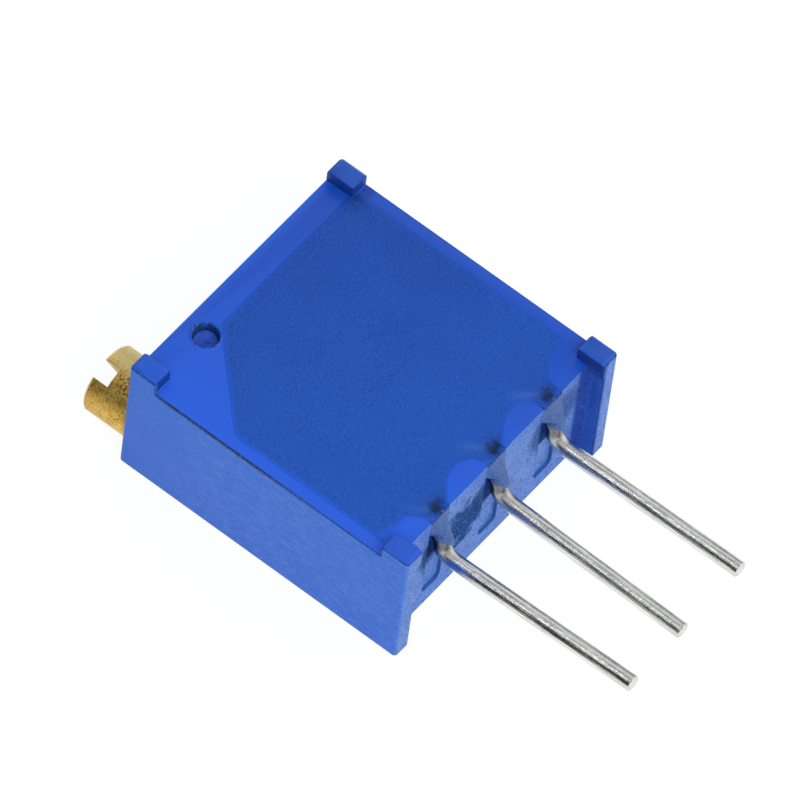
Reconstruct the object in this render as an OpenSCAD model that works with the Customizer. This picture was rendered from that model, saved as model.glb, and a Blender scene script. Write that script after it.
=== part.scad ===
// Multi-turn trimmer potentiometer in a square moulded case.
// A slotted worm screw turns a toothed wheel, whose spring wiper sweeps a C-shaped
// resistive track printed on a ceramic plate. Three wire pins leave the opposite wall.
// X runs across the pins, +Y towards the screw head, +Z out of the potted back.
// The origin is the centre of the front face. Millimetres.

/* [Case] */
// Width of the case across the pins
body_w = 9.53; // [8.6:0.01:12]
// Length of the case from the screw face to the ends of the feet
body_len = 10.03; // [9.2:0.01:12.5]
// Thickness of the case from the front face to the tops of the corner nubs
body_t = 4.83; // [4.7:0.01:6]
// Standoff of the two feet beyond the pin wall
foot_h = 0.56; // [0.3:0.01:0.8]
// Width of each foot
foot_w = 0.57; // [0.4:0.01:0.8]
// Radius of the cove at the root of each foot
foot_cove = 0.22; // [0.05:0.01:0.28]
// Width of each corner nub
nub_w = 0.67; // [0.5:0.01:0.9]
// Length of each corner nub
nub_len = 0.95; // [0.7:0.01:1.1]
// Height of the corner nubs above the rim
nub_h = 0.48; // [0.2:0.01:0.6]
// Radius of the upright corners of the case
corner_r = 0.12; // [0.05:0.01:0.25]
// Chamfer along the outer edges of the case
edge_break = 0.07; // [0.02:0.01:0.12]

/* [Cavity] */
// Front wall under the toothed wheel
front_wall = 0.45; // [0.35:0.01:0.6]
// Side wall beside the screw
screw_side_wall = 0.5; // [0.4:0.01:0.8]
// Side wall away from the screw
far_wall = 0.48; // [0.45:0.01:0.8]
// End wall that the screw passes through
screw_end_wall = 0.95; // [0.8:0.01:1.3]
// End wall that the pins leave through
pin_wall = 0.6; // [0.5:0.01:0.8]
// Legs of the corner block round the screw
corner_block = 2.6; // [2.5:0.01:2.8]
// Least ledge left round the wheel for the ceramic plate
ledge = 0.2; // [0.12:0.01:0.4]
// Width of the notch at each pin
notch_w = 0.8; // [0.7:0.01:1]
// Depth of the shallow recess under each notch
recess_depth = 0.12; // [0.08:0.01:0.3]
// Height of the lower end of each recess above the front face
recess_z = 0.68; // [0.3:0.01:1.2]
// Radius of the two lower corners of each recess
recess_r = 0.2; // [0.05:0.01:0.3]

/* [Adjusting screw] */
// Distance of the screw axis from the front face and from the side wall
screw_inset = 1.27; // [1.2:0.01:1.45]
// Diameter of the slotted head
head_d = 2.19; // [2.05:0.01:2.35]
// Height of the head above the case
head_h = 1.58; // [1:0.01:2.2]
// Width of the screwdriver slot
slot_w = 0.6; // [0.4:0.01:0.8]
// Depth of the screwdriver slot
slot_depth = 0.55; // [0.4:0.01:0.8]
// Angle of the slot from the upright, as set
slot_angle = 25; // [-90:1:90]
// Diameter of the shank in its bore
shank_d = 2.0; // [1.9:0.01:2.04]
// Radial running clearance of the shank and of the tail journal
run_clear = 0.03; // [0.02:0.005:0.06]
// Gap under the head, and along every groove that something sits in
end_clear = 0.05; // [0.03:0.005:0.08]
// Thickness of the rubber seal's round section
seal_d = 0.36; // [0.3:0.01:0.42]
// Diameter of the tail journal
journal_d = 0.84; // [0.7:0.01:0.9]
// Length of the tail journal
journal_len = 1.1; // [0.8:0.01:1.3]

/* [Retaining peg] */
// Diameter of the peg that holds the screw in
peg_d = 0.76; // [0.7:0.01:0.84]
// Distance of the peg's axis from the screw face
peg_inset = 0.78; // [0.72:0.01:0.86]
// How far the peg's top lies below the rim
peg_sunk = 0.35; // [0.1:0.01:0.6]
// Depth that the peg reaches into its groove in the shank
peg_bite = 0.18; // [0.1:0.01:0.25]

/* [Worm gear] */
// Teeth of the wheel, which is also the turns of the screw for one turn of the wheel
wheel_teeth = 33; // [29:1:37]
// Turns of the screw from end to end of the travel
screw_turns = 25; // [20:1:25]
// Pitch diameter of the worm
worm_pitch_d = 1.4; // [1.3:0.01:1.5]
// Length of the worm's thread
worm_len = 4.0; // [3.4:0.1:4.4]
// Angle of the thread's flanks
flank_angle = 20; // [14:1:25]
// Play between thread and teeth along the pitch line
backlash = 0.07; // [0.05:0.01:0.12]
// Thickness of the toothed wheel
wheel_t = 0.8; // [0.7:0.01:0.9]
// Diameter of the pivot post
post_d = 1.0; // [0.8:0.01:1.2]
// Diameter of the wheel's hub
hub_d = 1.9; // [1.8:0.01:2.1]
// Radial gap round the wheel in its well
well_gap = 0.15; // [0.1:0.01:0.25]
// Inner radius of the groove under the wheel that the stop runs in
stop_groove_r = 1.45; // [1.4:0.01:1.6]
// Width of that groove
stop_groove_w = 0.9; // [0.7:0.01:0.95]
// Half of the angle that the fixed stop takes up
stop_half = 22; // [15:1:30]

/* [Wiper] */
// Thickness of the wiper's spring sheet
wiper_t = 0.1; // [0.08:0.01:0.12]
// Height from the wheel's face to the ceramic plate
wiper_room = 0.88; // [0.8:0.01:1]
// Width of one contact finger
finger_w = 0.14; // [0.1:0.01:0.18]
// Pitch of the three fingers of each brush
finger_pitch = 0.22; // [0.2:0.01:0.26]
// Gap left between a fingertip and the film it rides on
touch_gap = 0.02; // [0.01:0.005:0.04]

/* [Ceramic element] */
// Thickness of the ceramic plate
plate_t = 0.635; // [0.5:0.005:0.7]
// Gap round the ceramic plate in its pocket
plate_gap = 0.08; // [0.05:0.01:0.12]
// Thickness of the printed films
film_t = 0.03; // [0.02:0.005:0.05]
// Width of the resistive track
track_w = 0.72; // [0.6:0.01:0.9]
// Angle that the resistive track sweeps
track_sweep = 270; // [250:1:280]
// Outer radius of the collector ring
collector_r = 1.25; // [1.1:0.01:1.4]
// Inner radius of the collector ring
collector_hole_r = 0.45; // [0.3:0.01:0.55]
// Diameter of the plated hole at each pin
via_d = 0.4; // [0.3:0.01:0.5]
// Distance of the plated holes from the plate's edge
via_inset = 0.6; // [0.55:0.01:0.8]

/* [Pins] */
// Spacing of the pins
pin_pitch = 2.54; // [2.4:0.01:3.05]
// Diameter of the pins
pin_d = 0.51; // [0.45:0.01:0.6]
// Reach of each pin beyond the feet, as cut
pin_reach = [6.51, 6.34, 6.38];
// Height of each pin above mid thickness where it leaves the bend, as bent
pin_lift = [0.17, 0.2, 0.13];
// Rise of each pin from the level, in degrees, as bent
pin_rise = [2.3, -1.9, 1.1];
// Radius of the pins' bends along the wire's middle
bend_r = 0.43; // [0.4:0.01:0.5]
// How far the middle of each pin's upright stretch stands out of the pin wall
upright_out = 0.19; // [0.1:0.01:0.22]
// Radius of the round solder pad
pad_r = 0.5; // [0.45:0.01:0.6]
// Solder left under each wire
solder_film = 0.04; // [0.02:0.01:0.06]
// Solder over the top of each wire
solder_cover = 0.06; // [0.03:0.01:0.1]

/* [Potting] */
// How far the potting creeps onto the rim
creep = 0.15; // [0.05:0.01:0.2]
// Thickness of the crept film
creep_t = 0.02; // [0.01:0.005:0.04]
// Thickness of the coat of potting on each pin's upright stretch
coat_t = 0.06; // [0.05:0.01:0.08]
// Height of the coat's lower end above the front face
coat_z = 2.96; // [2.9:0.01:3.1]
// Height of the underside of the potting in each notch above the front face
fill_z = 3.1; // [3:0.01:3.15]
// Gap between the potting and what it is cast round
cast_gap = 0.012; // [0.01:0.001:0.02]

/* [Hidden] */
$fn = 48;
over = 0.2; // what a cutter runs past the face it cuts

// Levels
rim_z = body_t - nub_h;
wheel_z = screw_inset - wheel_t / 2;
wheel_top = wheel_z + wheel_t;
ledge_z = wheel_top + wiper_room;
plate_top = ledge_z + plate_t;
land_top = plate_top + film_t;
seat_z = land_top + solder_film + pin_d / 2;
notch_z = body_t / 2 - pin_d / 2;

// Ends and sides
face_y = body_len / 2;
wall_y = -body_len / 2 + foot_h;
side_x = body_w / 2;
pocket_left = -side_x + screw_side_wall;
pocket_right = side_x - far_wall;
pocket_top = face_y - screw_end_wall;
pocket_bottom = wall_y + pin_wall;
via_y = pocket_bottom + plate_gap + via_inset;

// Worm gear
screw_x = -side_x + screw_inset;
worm_pitch_r = worm_pitch_d / 2;
wheel_y = (pocket_top + pocket_bottom) / 2;
reach_ratio = 1 + 2 / wheel_teeth; // the wheel's outer radius over its pitch radius
near_x = screw_x + worm_pitch_r;
reach_by_width = (pocket_right - ledge - well_gap - near_x) / (1 + reach_ratio);
reach_by_length = ((pocket_top - pocket_bottom) / 2 - ledge - well_gap) / reach_ratio;
wheel_pitch_r = min(reach_by_width, reach_by_length);
wheel_x = near_x + wheel_pitch_r;
wheel_r = wheel_pitch_r * reach_ratio;
well_r = wheel_r + well_gap;
gear_module = 2 * wheel_pitch_r / wheel_teeth;
thread_pitch = PI * gear_module;
addendum = gear_module;
dedendum = 1.2 * gear_module;
worm_r = worm_pitch_r + addendum;
worm_root_r = worm_pitch_r - dedendum;
lead_angle = atan(thread_pitch / (2 * PI * worm_pitch_r));
thread_steps = 20; // facets in one turn of the thread
travel = 360 * screw_turns / wheel_teeth;
lug_half = 180 - travel / 2 - stop_half - 1;

// Adjusting screw, along Y
shank_r = shank_d / 2;
bore_r = shank_r + run_clear;
journal_r = journal_d / 2;
worm_y1 = wheel_y + worm_len / 2;
worm_y0 = wheel_y - worm_len / 2;
tail_y = worm_y0 - journal_len;
peg_y = face_y - peg_inset;
peg_groove_r = shank_r - peg_bite;
peg_x = screw_x + peg_groove_r + run_clear + peg_d / 2;
peg_bottom = front_wall;
peg_top = rim_z - peg_sunk;
seal_groove_r = bore_r - seal_d - end_clear / 4;
seal_groove_w = seal_d + end_clear;
shank_land = 0.26; // the full rings of shank left on both sides of the seal
seal_y = peg_y - peg_d / 2 - end_clear - shank_land - seal_groove_w / 2;
shank_y0 = seal_y - seal_groove_w / 2 - shank_land;

// Wheel
hub_r = hub_d / 2;
hub_top = wheel_top + 2.5 * wiper_t;
post_r = post_d / 2;
thrust_pad_r = hub_r + 0.25;
stop_roof = wheel_z + 0.35;
stake_r = 0.18; // the two plastic stakes that hold the wiper down
stake_orbit = hub_r + 0.5;

// Wiper
ring_r = stake_orbit + stake_r + 0.32;
comb_w = 2 * finger_pitch + finger_w;
brush_run = 0.95; // how far a finger's blade runs from its root to its tip
brush_root = 0.12; // the flat start of each finger
tongue_w = 0.4; // the strip that the fingers spring from
brush_rise = wiper_room - film_t - touch_gap - wiper_t;
sweep_r = wheel_x - screw_x - sqrt(worm_r * worm_r - wheel_t * wheel_t / 4) - end_clear;
track_r = sqrt(sweep_r * sweep_r - brush_run * brush_run) - comb_w / 2;

// Ceramic element
print_clear = 4 * film_t; // depth of the relief under the printed conductors

// Pins
pin_r = pin_d / 2;
drop_y = wall_y - upright_out;
upright_min = 0.02; // the least straight stretch between a pin's two bends
wire_bend = min(bend_r, (seat_z - body_t / 2 - max(pin_lift) - upright_min) / 2);
wire_start = via_y + 0.3;

function pin_x(n) = (n - 2) * pin_pitch;
function pin_z(n) = body_t / 2 + pin_lift[n - 1];

// ---------------------------------------------------------------- shared shapes

// A rod along Y from y0 to y1.
module rod_y(y0, y1, r) {
    translate([0, y0, 0]) rotate([-90, 0, 0]) cylinder(h = y1 - y0, r = r);
}

// Moves to the screw's axis.
module at_screw() {
    translate([screw_x, 0, screw_inset]) children();
}

// Moves to the wheel's axis.
module at_wheel() {
    translate([wheel_x, wheel_y, 0]) children();
}

// Outline of the pocket, with the block left standing in the screw's corner.
module pocket_outline() {
    polygon([
        [pocket_left, pocket_bottom], [pocket_right, pocket_bottom], [pocket_right, pocket_top],
        [pocket_left + corner_block, pocket_top], [pocket_left, pocket_top - corner_block]
    ]);
}

// A sector of a flat ring about the origin.
module ring_sector(r0, r1, half, z0, z1) {
    translate([0, 0, z0]) rotate([0, 0, -half]) rotate_extrude(angle = 2 * half)
        translate([r0, 0]) square([r1 - r0, z1 - z0]);
}

// ---------------------------------------------------------------- housing

// The case's outside: the block, its two feet with coved roots, and four corner nubs.
module case_outside() {
    intersection() {
        union() {
            translate([-side_x, wall_y, 0]) cube([body_w, face_y - wall_y, rim_z]);
            for (s = [-1, 1]) {
                foot(s);
                nub(s, face_y - nub_len);
                nub(s, -body_len / 2);
            }
        }
        soft_box();
    }
}

// The overall box, with its upright corners rounded and its other edges broken.
module soft_box() {
    core = [body_w - 2 * corner_r, body_len - 2 * corner_r];
    hull() {
        translate([0, 0, edge_break]) linear_extrude(body_t - 2 * edge_break)
            offset(r = corner_r, $fn = 24) square(core, center = true);
        linear_extrude(body_t) square(core, center = true);
    }
}

module foot(s) {
    inner_x = s * (side_x - foot_w);
    translate([min(inner_x, s * side_x), -body_len / 2, 0]) cube([foot_w, foot_h + over, rim_z]);
    difference() {
        translate([min(inner_x, inner_x - s * foot_cove), wall_y - foot_cove, 0])
            cube([foot_cove, foot_cove + over, rim_z]);
        translate([inner_x - s * foot_cove, wall_y - foot_cove, -over])
            cylinder(h = rim_z + 2 * over, r = foot_cove);
    }
}

module nub(s, y) {
    translate([s > 0 ? side_x - nub_w : -side_x, y, rim_z - over]) cube([nub_w, nub_len, nub_h + over]);
}

// A pin's notch: through the wall at the top, and a shallow recess with rounded lower corners below.
module pin_notch(n) {
    translate([pin_x(n), 0, 0]) {
        translate([-notch_w / 2, wall_y - over, notch_z]) cube([notch_w, pin_wall + over, rim_z]);
        translate([0, wall_y + recess_depth, 0]) rotate([90, 0, 0]) linear_extrude(recess_depth + over)
            offset(r = recess_r, $fn = 24) translate([recess_r - notch_w / 2, recess_z + recess_r])
                square([notch_w - 2 * recess_r, rim_z]);
    }
}

// A shallow relief in the ledge, so that the printed conductors and plated holes lie clear of it.
module print_relief() {
    half = pin_pitch + via_d + plate_gap;
    translate([-half, via_y - via_d - plate_gap, ledge_z - print_clear])
        cube([2 * half, wheel_y - via_y, rim_z]);
}

// Everything that turns lives below the ledge: a bored channel for the screw, and the wheel's well.
module mechanism_space() {
    at_screw() {
        rod_y(worm_y0 - end_clear, face_y + over, bore_r);
        rod_y(tail_y - 2 * end_clear, worm_y0, journal_r + run_clear);
    }
    translate([0, 0, front_wall]) linear_extrude(rim_z) intersection() {
        pocket_outline();
        translate([wheel_x, wheel_y]) circle(r = well_r);
    }
    translate([0, 0, screw_inset]) linear_extrude(rim_z) intersection() {
        pocket_outline();
        translate([pocket_left, worm_y0 - end_clear])
            square([wheel_x - pocket_left, worm_len + 2 * end_clear]);
    }
}

// The pivot post, its thrust pad, and the stop that ends the wheel's travel.
module pivot() {
    at_wheel() {
        translate([0, 0, front_wall - over]) {
            cylinder(h = hub_top - front_wall + over, r = post_r);
            cylinder(h = wheel_z - front_wall - end_clear / 2 + over, r = thrust_pad_r);
        }
        rotate([0, 0, -90]) ring_sector(
            stop_groove_r + end_clear, stop_groove_r + stop_groove_w - end_clear, stop_half,
            front_wall - over, stop_roof - end_clear);
    }
}

module housing() {
    color("#3165dc") {
        difference() {
            case_outside();
            translate([0, 0, ledge_z]) linear_extrude(rim_z) pocket_outline();
            print_relief();
            mechanism_space();
            for (n = [1:3]) pin_notch(n);
            translate([peg_x, peg_y, peg_bottom]) cylinder(h = rim_z, r = peg_d / 2 + end_clear / 4);
        }
        pivot();
    }
}

module retaining_peg() {
    color("#2c57bd") translate([peg_x, peg_y, peg_bottom]) {
        cylinder(h = peg_top - peg_bottom - edge_break, r = peg_d / 2);
        translate([0, 0, peg_top - peg_bottom - edge_break])
            cylinder(h = edge_break, r1 = peg_d / 2, r2 = peg_d / 2 - edge_break);
    }
}

// ---------------------------------------------------------------- adjusting screw

// Half outline of the turned screw, from the tail journal to the head, as [radius, y].
function turned_outline() = [
    [0, tail_y], [journal_r - edge_break, tail_y], [journal_r, tail_y + edge_break],
    [journal_r, worm_y0 - end_clear / 2], [worm_root_r, worm_y0 - end_clear / 2],
    [worm_root_r, shank_y0],
    [shank_r, shank_y0], [shank_r, seal_y - seal_groove_w / 2],
    [seal_groove_r, seal_y - seal_groove_w / 2], [seal_groove_r, seal_y + seal_groove_w / 2],
    [shank_r, seal_y + seal_groove_w / 2], [shank_r, peg_y - peg_d / 2 - end_clear],
    [peg_groove_r, peg_y - peg_d / 2 - end_clear], [peg_groove_r, peg_y + peg_d / 2 + end_clear],
    [shank_r, peg_y + peg_d / 2 + end_clear], [shank_r, face_y + end_clear],
    [head_d / 2, face_y + end_clear], [head_d / 2, face_y + head_h - edge_break],
    [head_d / 2 - edge_break, face_y + head_h], [0, face_y + head_h]
];

// Radius of the thread's crest at a turn count t from its start. It grows out of the root over half a
// turn at each end.
function crest(t, turns) =
    let (sunk_r = 0.9 * worm_root_r)
    sunk_r + (worm_r - sunk_r) * min(1, 2 * t, 2 * (turns - t));

// Half widths of the thread along the axis, at a radius r.
function thread_half(r) = (thread_pitch / 2 - backlash) / 2 - (r - worm_pitch_r) * tan(flank_angle);

// The ridge of the worm: a right-handed trapezoidal thread whose crest lies half a pitch
// from the wheel's middle on the side that faces the wheel.
module worm_thread() {
    turns = worm_len / thread_pitch - 1;
    steps = ceil(turns * thread_steps);
    foot_r = 0.8 * worm_root_r;
    start_y = -turns * thread_pitch / 2;
    phase = 90 + 180 + 360 * start_y / thread_pitch;
    points = [
        for (i = [0:steps])
            let (
                t = turns * i / steps,
                a = phase + 360 * t,
                y = start_y + thread_pitch * t,
                top_r = crest(t, turns),
                top = thread_half(top_r),
                foot = thread_half(foot_r)
            )
            each [
                [foot_r * sin(a), y - foot, foot_r * cos(a)], [top_r * sin(a), y - top, top_r * cos(a)],
                [top_r * sin(a), y + top, top_r * cos(a)], [foot_r * sin(a), y + foot, foot_r * cos(a)]
            ]
    ];
    side_faces = [
        for (i = [0:steps - 1], k = [0:3])
            let (a = 4 * i + k, b = 4 * i + (k + 1) % 4)
            each [[a, b, b + 4], [a, b + 4, a + 4]]
    ];
    polyhedron(points, concat([[3, 2, 1, 0]], side_faces, [[for (k = [0:3]) 4 * steps + k]]));
}

module adjusting_screw() {
    color("#c9a13f") at_screw() {
        difference() {
            rotate([-90, 0, 0]) rotate_extrude() polygon(turned_outline());
            rotate([0, -slot_angle, 0]) translate([-slot_w / 2, face_y + head_h - slot_depth, -head_d])
                cube([slot_w, slot_depth + over, 2 * head_d]);
        }
        translate([0, wheel_y, 0]) worm_thread();
    }
}

module screw_seal() {
    color("#26282b") at_screw() translate([0, seal_y, 0]) rotate([90, 0, 0]) rotate_extrude()
        translate([bore_r - end_clear / 4 - seal_d / 2, 0]) circle(r = seal_d / 2 - end_clear / 8);
}

// ---------------------------------------------------------------- wheel and wiper

function involute(a) = tan(a) * 180 / PI - a;

// Half angle of a tooth at radius r, for a flank that is the involute of the pitch circle.
function tooth_half(r) =
    let (
        base_r = wheel_pitch_r * cos(flank_angle),
        a = r > base_r ? acos(base_r / r) : 0,
        pitch_half = (thread_pitch / 2) / 2 / wheel_pitch_r * 180 / PI
    )
    pitch_half + involute(flank_angle) - involute(a);

// Outline of the toothed rim, with one tooth pointing at the worm.
module toothed_outline() {
    root_r = wheel_pitch_r - dedendum;
    radii = [root_r, wheel_pitch_r, wheel_r];
    polygon([
        for (i = [0:wheel_teeth - 1])
            let (mid = 180 + 360 * i / wheel_teeth)
            each concat(
                [for (r = radii) let (a = mid - tooth_half(r)) r * [cos(a), sin(a)]],
                [for (k = [2:-1:0]) let (r = radii[k], a = mid + tooth_half(r)) r * [cos(a), sin(a)]]
            )
    ]);
}

module worm_wheel() {
    lead_twist = wheel_t * tan(lead_angle) / wheel_pitch_r * 180 / PI;
    color("#e9e6da") at_wheel() difference() {
        union() {
            translate([0, 0, wheel_z]) rotate([0, 0, -lead_twist / 2])
                linear_extrude(wheel_t, twist = -lead_twist, slices = 1) toothed_outline();
            translate([0, 0, wheel_z + wheel_t / 2]) cylinder(h = hub_top - wheel_z - wheel_t / 2, r = hub_r);
            for (s = [-1, 1]) translate([s * stake_orbit, 0, wheel_z + wheel_t / 2])
                cylinder(h = wheel_t / 2 + 2.5 * wiper_t, r = stake_r);
        }
        translate([0, 0, wheel_z - over]) cylinder(h = hub_top, r = post_r + run_clear);
        rotate([0, 0, -90]) ring_sector(
            stop_groove_r, stop_groove_r + stop_groove_w, 180 - lug_half, wheel_z - over, stop_roof);
    }
}

// Side outline of one brush finger: a flat root, a sloping blade, and a round tip whose middle lies
// at x = 0.
module finger_side() {
    tip_r = wiper_t / 2;
    tip_z = brush_rise + tip_r;
    slope = atan(brush_rise / brush_run);
    tip = [for (k = [0:6]) let (a = slope - 90 + 30 * k) [tip_r * cos(a), tip_z + tip_r * sin(a)]];
    bend_x = tip[6][0] - (tip[6][1] - wiper_t) / tan(slope);
    polygon(concat(
        [[-brush_run - brush_root, 0], [-brush_run, 0]], tip,
        [[bend_x, wiper_t], [-brush_run - brush_root, wiper_t]]
    ));
}

// Three fingers side by side that run along +X and rise to their tips.
module brush() {
    for (k = [-1:1]) translate([0, k * finger_pitch + finger_w / 2, 0])
        rotate([90, 0, 0]) linear_extrude(finger_w) finger_side();
}

// The wiper: a ring staked to the wheel, with one brush for the track and one for the collector.
module wiper() {
    color("#c58a4a") at_wheel() translate([0, 0, wheel_top]) {
        difference() {
            union() {
                cylinder(h = wiper_t, r = ring_r);
                intersection() {
                    translate([-brush_run - tongue_w, 0, 0]) cube([tongue_w, sweep_r, wiper_t]);
                    cylinder(h = wiper_t, r = sweep_r);
                }
            }
            translate([0, 0, -over]) cylinder(h = 1, r = hub_r + run_clear);
            for (s = [-1, 1]) translate([s * stake_orbit, 0, -over]) cylinder(h = 1, r = stake_r + run_clear);
        }
        translate([0, track_r, 0]) brush();
        translate([0, -(collector_r + collector_hole_r) / 2, 0]) rotate([0, 0, 90]) brush();
    }
}

// ---------------------------------------------------------------- ceramic element

module ceramic_plate() {
    color("#ece9e1") difference() {
        translate([0, 0, ledge_z]) linear_extrude(plate_t) offset(delta = -plate_gap) pocket_outline();
        for (n = [1:3]) translate([pin_x(n), via_y, 0]) cylinder(h = rim_z, r = via_d / 2);
    }
}

// Lays a film on the underside of the ceramic plate.
module under_film() {
    translate([0, 0, ledge_z - film_t]) linear_extrude(film_t) children();
}

// A stretch of the track's ring on the underside of the plate, about an angle.
module track_arc(angle, half) {
    at_wheel() rotate([0, 0, angle])
        ring_sector(track_r - track_w / 2, track_r + track_w / 2, half, ledge_z - film_t, ledge_z);
}

module resistive_track() {
    color("#2b2a2c") track_arc(90, track_sweep / 2);
}

// The conductor from one end of the track to its plated hole; s is -1 at pin 1 and 1 at pin 3.
module track_end(s) {
    pad_half = 7;
    pad_angle = 90 - s * (track_sweep / 2 + pad_half);
    color("#c9c9c4") {
        track_arc(pad_angle, pad_half);
        under_film() hull() {
            translate([s * pin_pitch, via_y]) circle(r = via_d, $fn = 32);
            translate([wheel_x, wheel_y] + track_r * [cos(pad_angle), sin(pad_angle)])
                circle(r = via_d / 2, $fn = 32);
        }
    }
}

module track_end_1() { track_end(-1); }
module track_end_3() { track_end(1); }

module collector() {
    color("#d8d4c8") under_film() {
        difference() {
            union() {
                translate([wheel_x, wheel_y]) circle(r = collector_r);
                hull() {
                    translate([wheel_x, wheel_y - collector_r + via_d]) circle(r = via_d / 2, $fn = 32);
                    translate([0, via_y]) circle(r = via_d / 2, $fn = 32);
                }
                translate([0, via_y]) circle(r = via_d);
            }
            translate([wheel_x, wheel_y]) circle(r = collector_hole_r);
        }
    }
}

// The pad that a pin is soldered to, with the plated hole that joins it to the underside.
module back_land(n) {
    color("#c9c9c4") translate([pin_x(n), via_y, 0]) {
        translate([0, 0, plate_top]) cylinder(h = film_t, r = pad_r);
        translate([0, 0, ledge_z]) cylinder(h = plate_t + film_t / 2, r = via_d / 2);
    }
}

module back_land_1() { back_land(1); }
module back_land_2() { back_land(2); }
module back_land_3() { back_land(3); }

// ---------------------------------------------------------------- pins, solder and potting

// A pin's wire: along the ceramic plate, over the pin wall, down in front of it, and out.
module wire(n, grow = 0) {
    r = pin_r + grow;
    rise = pin_rise[n - 1];
    upright_z = pin_z(n) + wire_bend;
    out_len = (pin_reach[n - 1] + foot_h - upright_out - wire_bend * (1 + sin(rise))) / cos(rise);
    translate([pin_x(n), 0, 0]) {
        translate([0, 0, seat_z]) rod_y(drop_y + wire_bend, wire_start + grow, r);
        translate([0, drop_y + wire_bend, seat_z - wire_bend]) rotate([180, -90, 0])
            rotate_extrude(angle = 90) translate([wire_bend, 0]) circle(r = r);
        translate([0, drop_y, upright_z]) cylinder(h = seat_z - wire_bend - upright_z, r = r);
        translate([0, drop_y - wire_bend, upright_z]) {
            rotate([-90, 0, 90]) rotate_extrude(angle = 90 + rise) translate([wire_bend, 0]) circle(r = r);
            rotate([-rise, 0, 0]) translate([0, 0, -wire_bend]) rotate([90, 0, 0])
                cylinder(h = out_len, r = r);
        }
    }
}

module pin_1() { color("#c4c4c2") wire(1); }
module pin_2() { color("#c4c4c2") wire(2); }
module pin_3() { color("#c4c4c2") wire(3); }

// A solder mound over the wire's inner end, with hollow flanks.
module mound(n, grow = 0) {
    top = seat_z + pin_r + solder_cover - land_top;
    translate([pin_x(n), via_y, land_top]) rotate_extrude() difference() {
        square([pad_r + grow, top + grow]);
        translate([pad_r + grow, top + grow]) circle(r = pad_r - pin_r - solder_cover);
    }
}

module solder(n) {
    color("#b9bcc0") difference() {
        mound(n);
        wire(n, cast_gap);
    }
}

module solder_1() { solder(1); }
module solder_2() { solder(2); }
module solder_3() { solder(3); }

// The potting that fills a notch, and the coat that follows the pin down in front of the wall.
module notch_fill(n) {
    translate([pin_x(n) - notch_w / 2, wall_y, fill_z]) cube([notch_w, pin_wall, rim_z - fill_z]);
    intersection() {
        wire(n, coat_t);
        translate([pin_x(n) - notch_w / 2, -body_len / 2, coat_z]) cube([notch_w, foot_h + pin_wall / 2, rim_z]);
    }
}

// Where the potting has crept over the rim, as far as the nub next to the pocket's corner.
module crept_outline() {
    difference() {
        offset(r = creep, $fn = 32) pocket_outline();
        translate([side_x - nub_w - cast_gap, face_y - nub_len - cast_gap]) square(nub_len);
    }
}

module potting() {
    color("#2a56af") difference() {
        union() {
            translate([0, 0, plate_top]) linear_extrude(rim_z - plate_top) pocket_outline();
            translate([0, 0, rim_z]) linear_extrude(creep_t) crept_outline();
            for (n = [1:3]) notch_fill(n);
        }
        for (n = [1:3]) {
            wire(n, cast_gap);
            mound(n, cast_gap);
            translate([pin_x(n), via_y, plate_top - over])
                cylinder(h = film_t + over + cast_gap, r = pad_r + cast_gap);
        }
        translate([peg_x, peg_y, plate_top]) cylinder(h = rim_z, r = peg_d / 2 + end_clear);
    }
}

// ---------------------------------------------------------------- assembly

housing();
potting();
retaining_peg();
adjusting_screw();
screw_seal();
worm_wheel();
wiper();
ceramic_plate();
resistive_track();
track_end_1();
track_end_3();
collector();
back_land_1();
back_land_2();
back_land_3();
pin_1();
pin_2();
pin_3();
solder_1();
solder_2();
solder_3();
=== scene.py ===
import math

import bmesh
import bpy
import numpy as np
from mathutils import Matrix, Vector


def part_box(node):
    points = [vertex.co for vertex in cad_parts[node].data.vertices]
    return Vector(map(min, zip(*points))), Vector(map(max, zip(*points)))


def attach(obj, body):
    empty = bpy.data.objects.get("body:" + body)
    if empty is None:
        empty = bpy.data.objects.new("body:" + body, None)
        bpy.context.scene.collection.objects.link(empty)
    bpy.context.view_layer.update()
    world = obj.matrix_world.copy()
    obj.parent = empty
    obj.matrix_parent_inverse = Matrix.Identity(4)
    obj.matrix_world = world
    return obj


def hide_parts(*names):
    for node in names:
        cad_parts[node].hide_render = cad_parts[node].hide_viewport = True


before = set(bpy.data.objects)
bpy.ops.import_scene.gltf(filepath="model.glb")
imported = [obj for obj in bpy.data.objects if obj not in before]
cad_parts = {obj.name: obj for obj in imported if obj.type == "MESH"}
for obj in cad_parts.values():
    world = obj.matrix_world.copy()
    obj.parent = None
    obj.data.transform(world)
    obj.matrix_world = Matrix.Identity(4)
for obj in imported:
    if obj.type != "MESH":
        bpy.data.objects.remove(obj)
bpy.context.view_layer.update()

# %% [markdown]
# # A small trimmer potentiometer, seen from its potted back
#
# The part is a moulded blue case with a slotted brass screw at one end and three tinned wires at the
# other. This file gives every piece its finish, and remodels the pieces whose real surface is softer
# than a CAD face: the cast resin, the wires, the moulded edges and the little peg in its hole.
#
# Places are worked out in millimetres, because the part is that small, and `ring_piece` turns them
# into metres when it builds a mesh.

MM = 0.001

# %% [markdown]
# ## Sizes taken from the CAD model
#
# A piece that is modelled here has to meet its neighbours, so its places are read from the boxes of
# the CAD nodes. Only what a box can't tell is written down again: the gap between the ceramic plate
# and its pocket, the standoff of the feet, the thin film of resin on the rim, and how the wires bend.

# %% Sizes of the case
def node_box(node):
    """Lowest and highest corner of a CAD node in millimetres."""
    return [np.array(corner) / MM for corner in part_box(node)]


case_lo, case_hi = node_box("housing")
plate_lo, plate_hi = node_box("ceramic_plate")
FILM = 0.02
FOOT = 0.56
PLATE_GAP = 0.08

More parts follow.
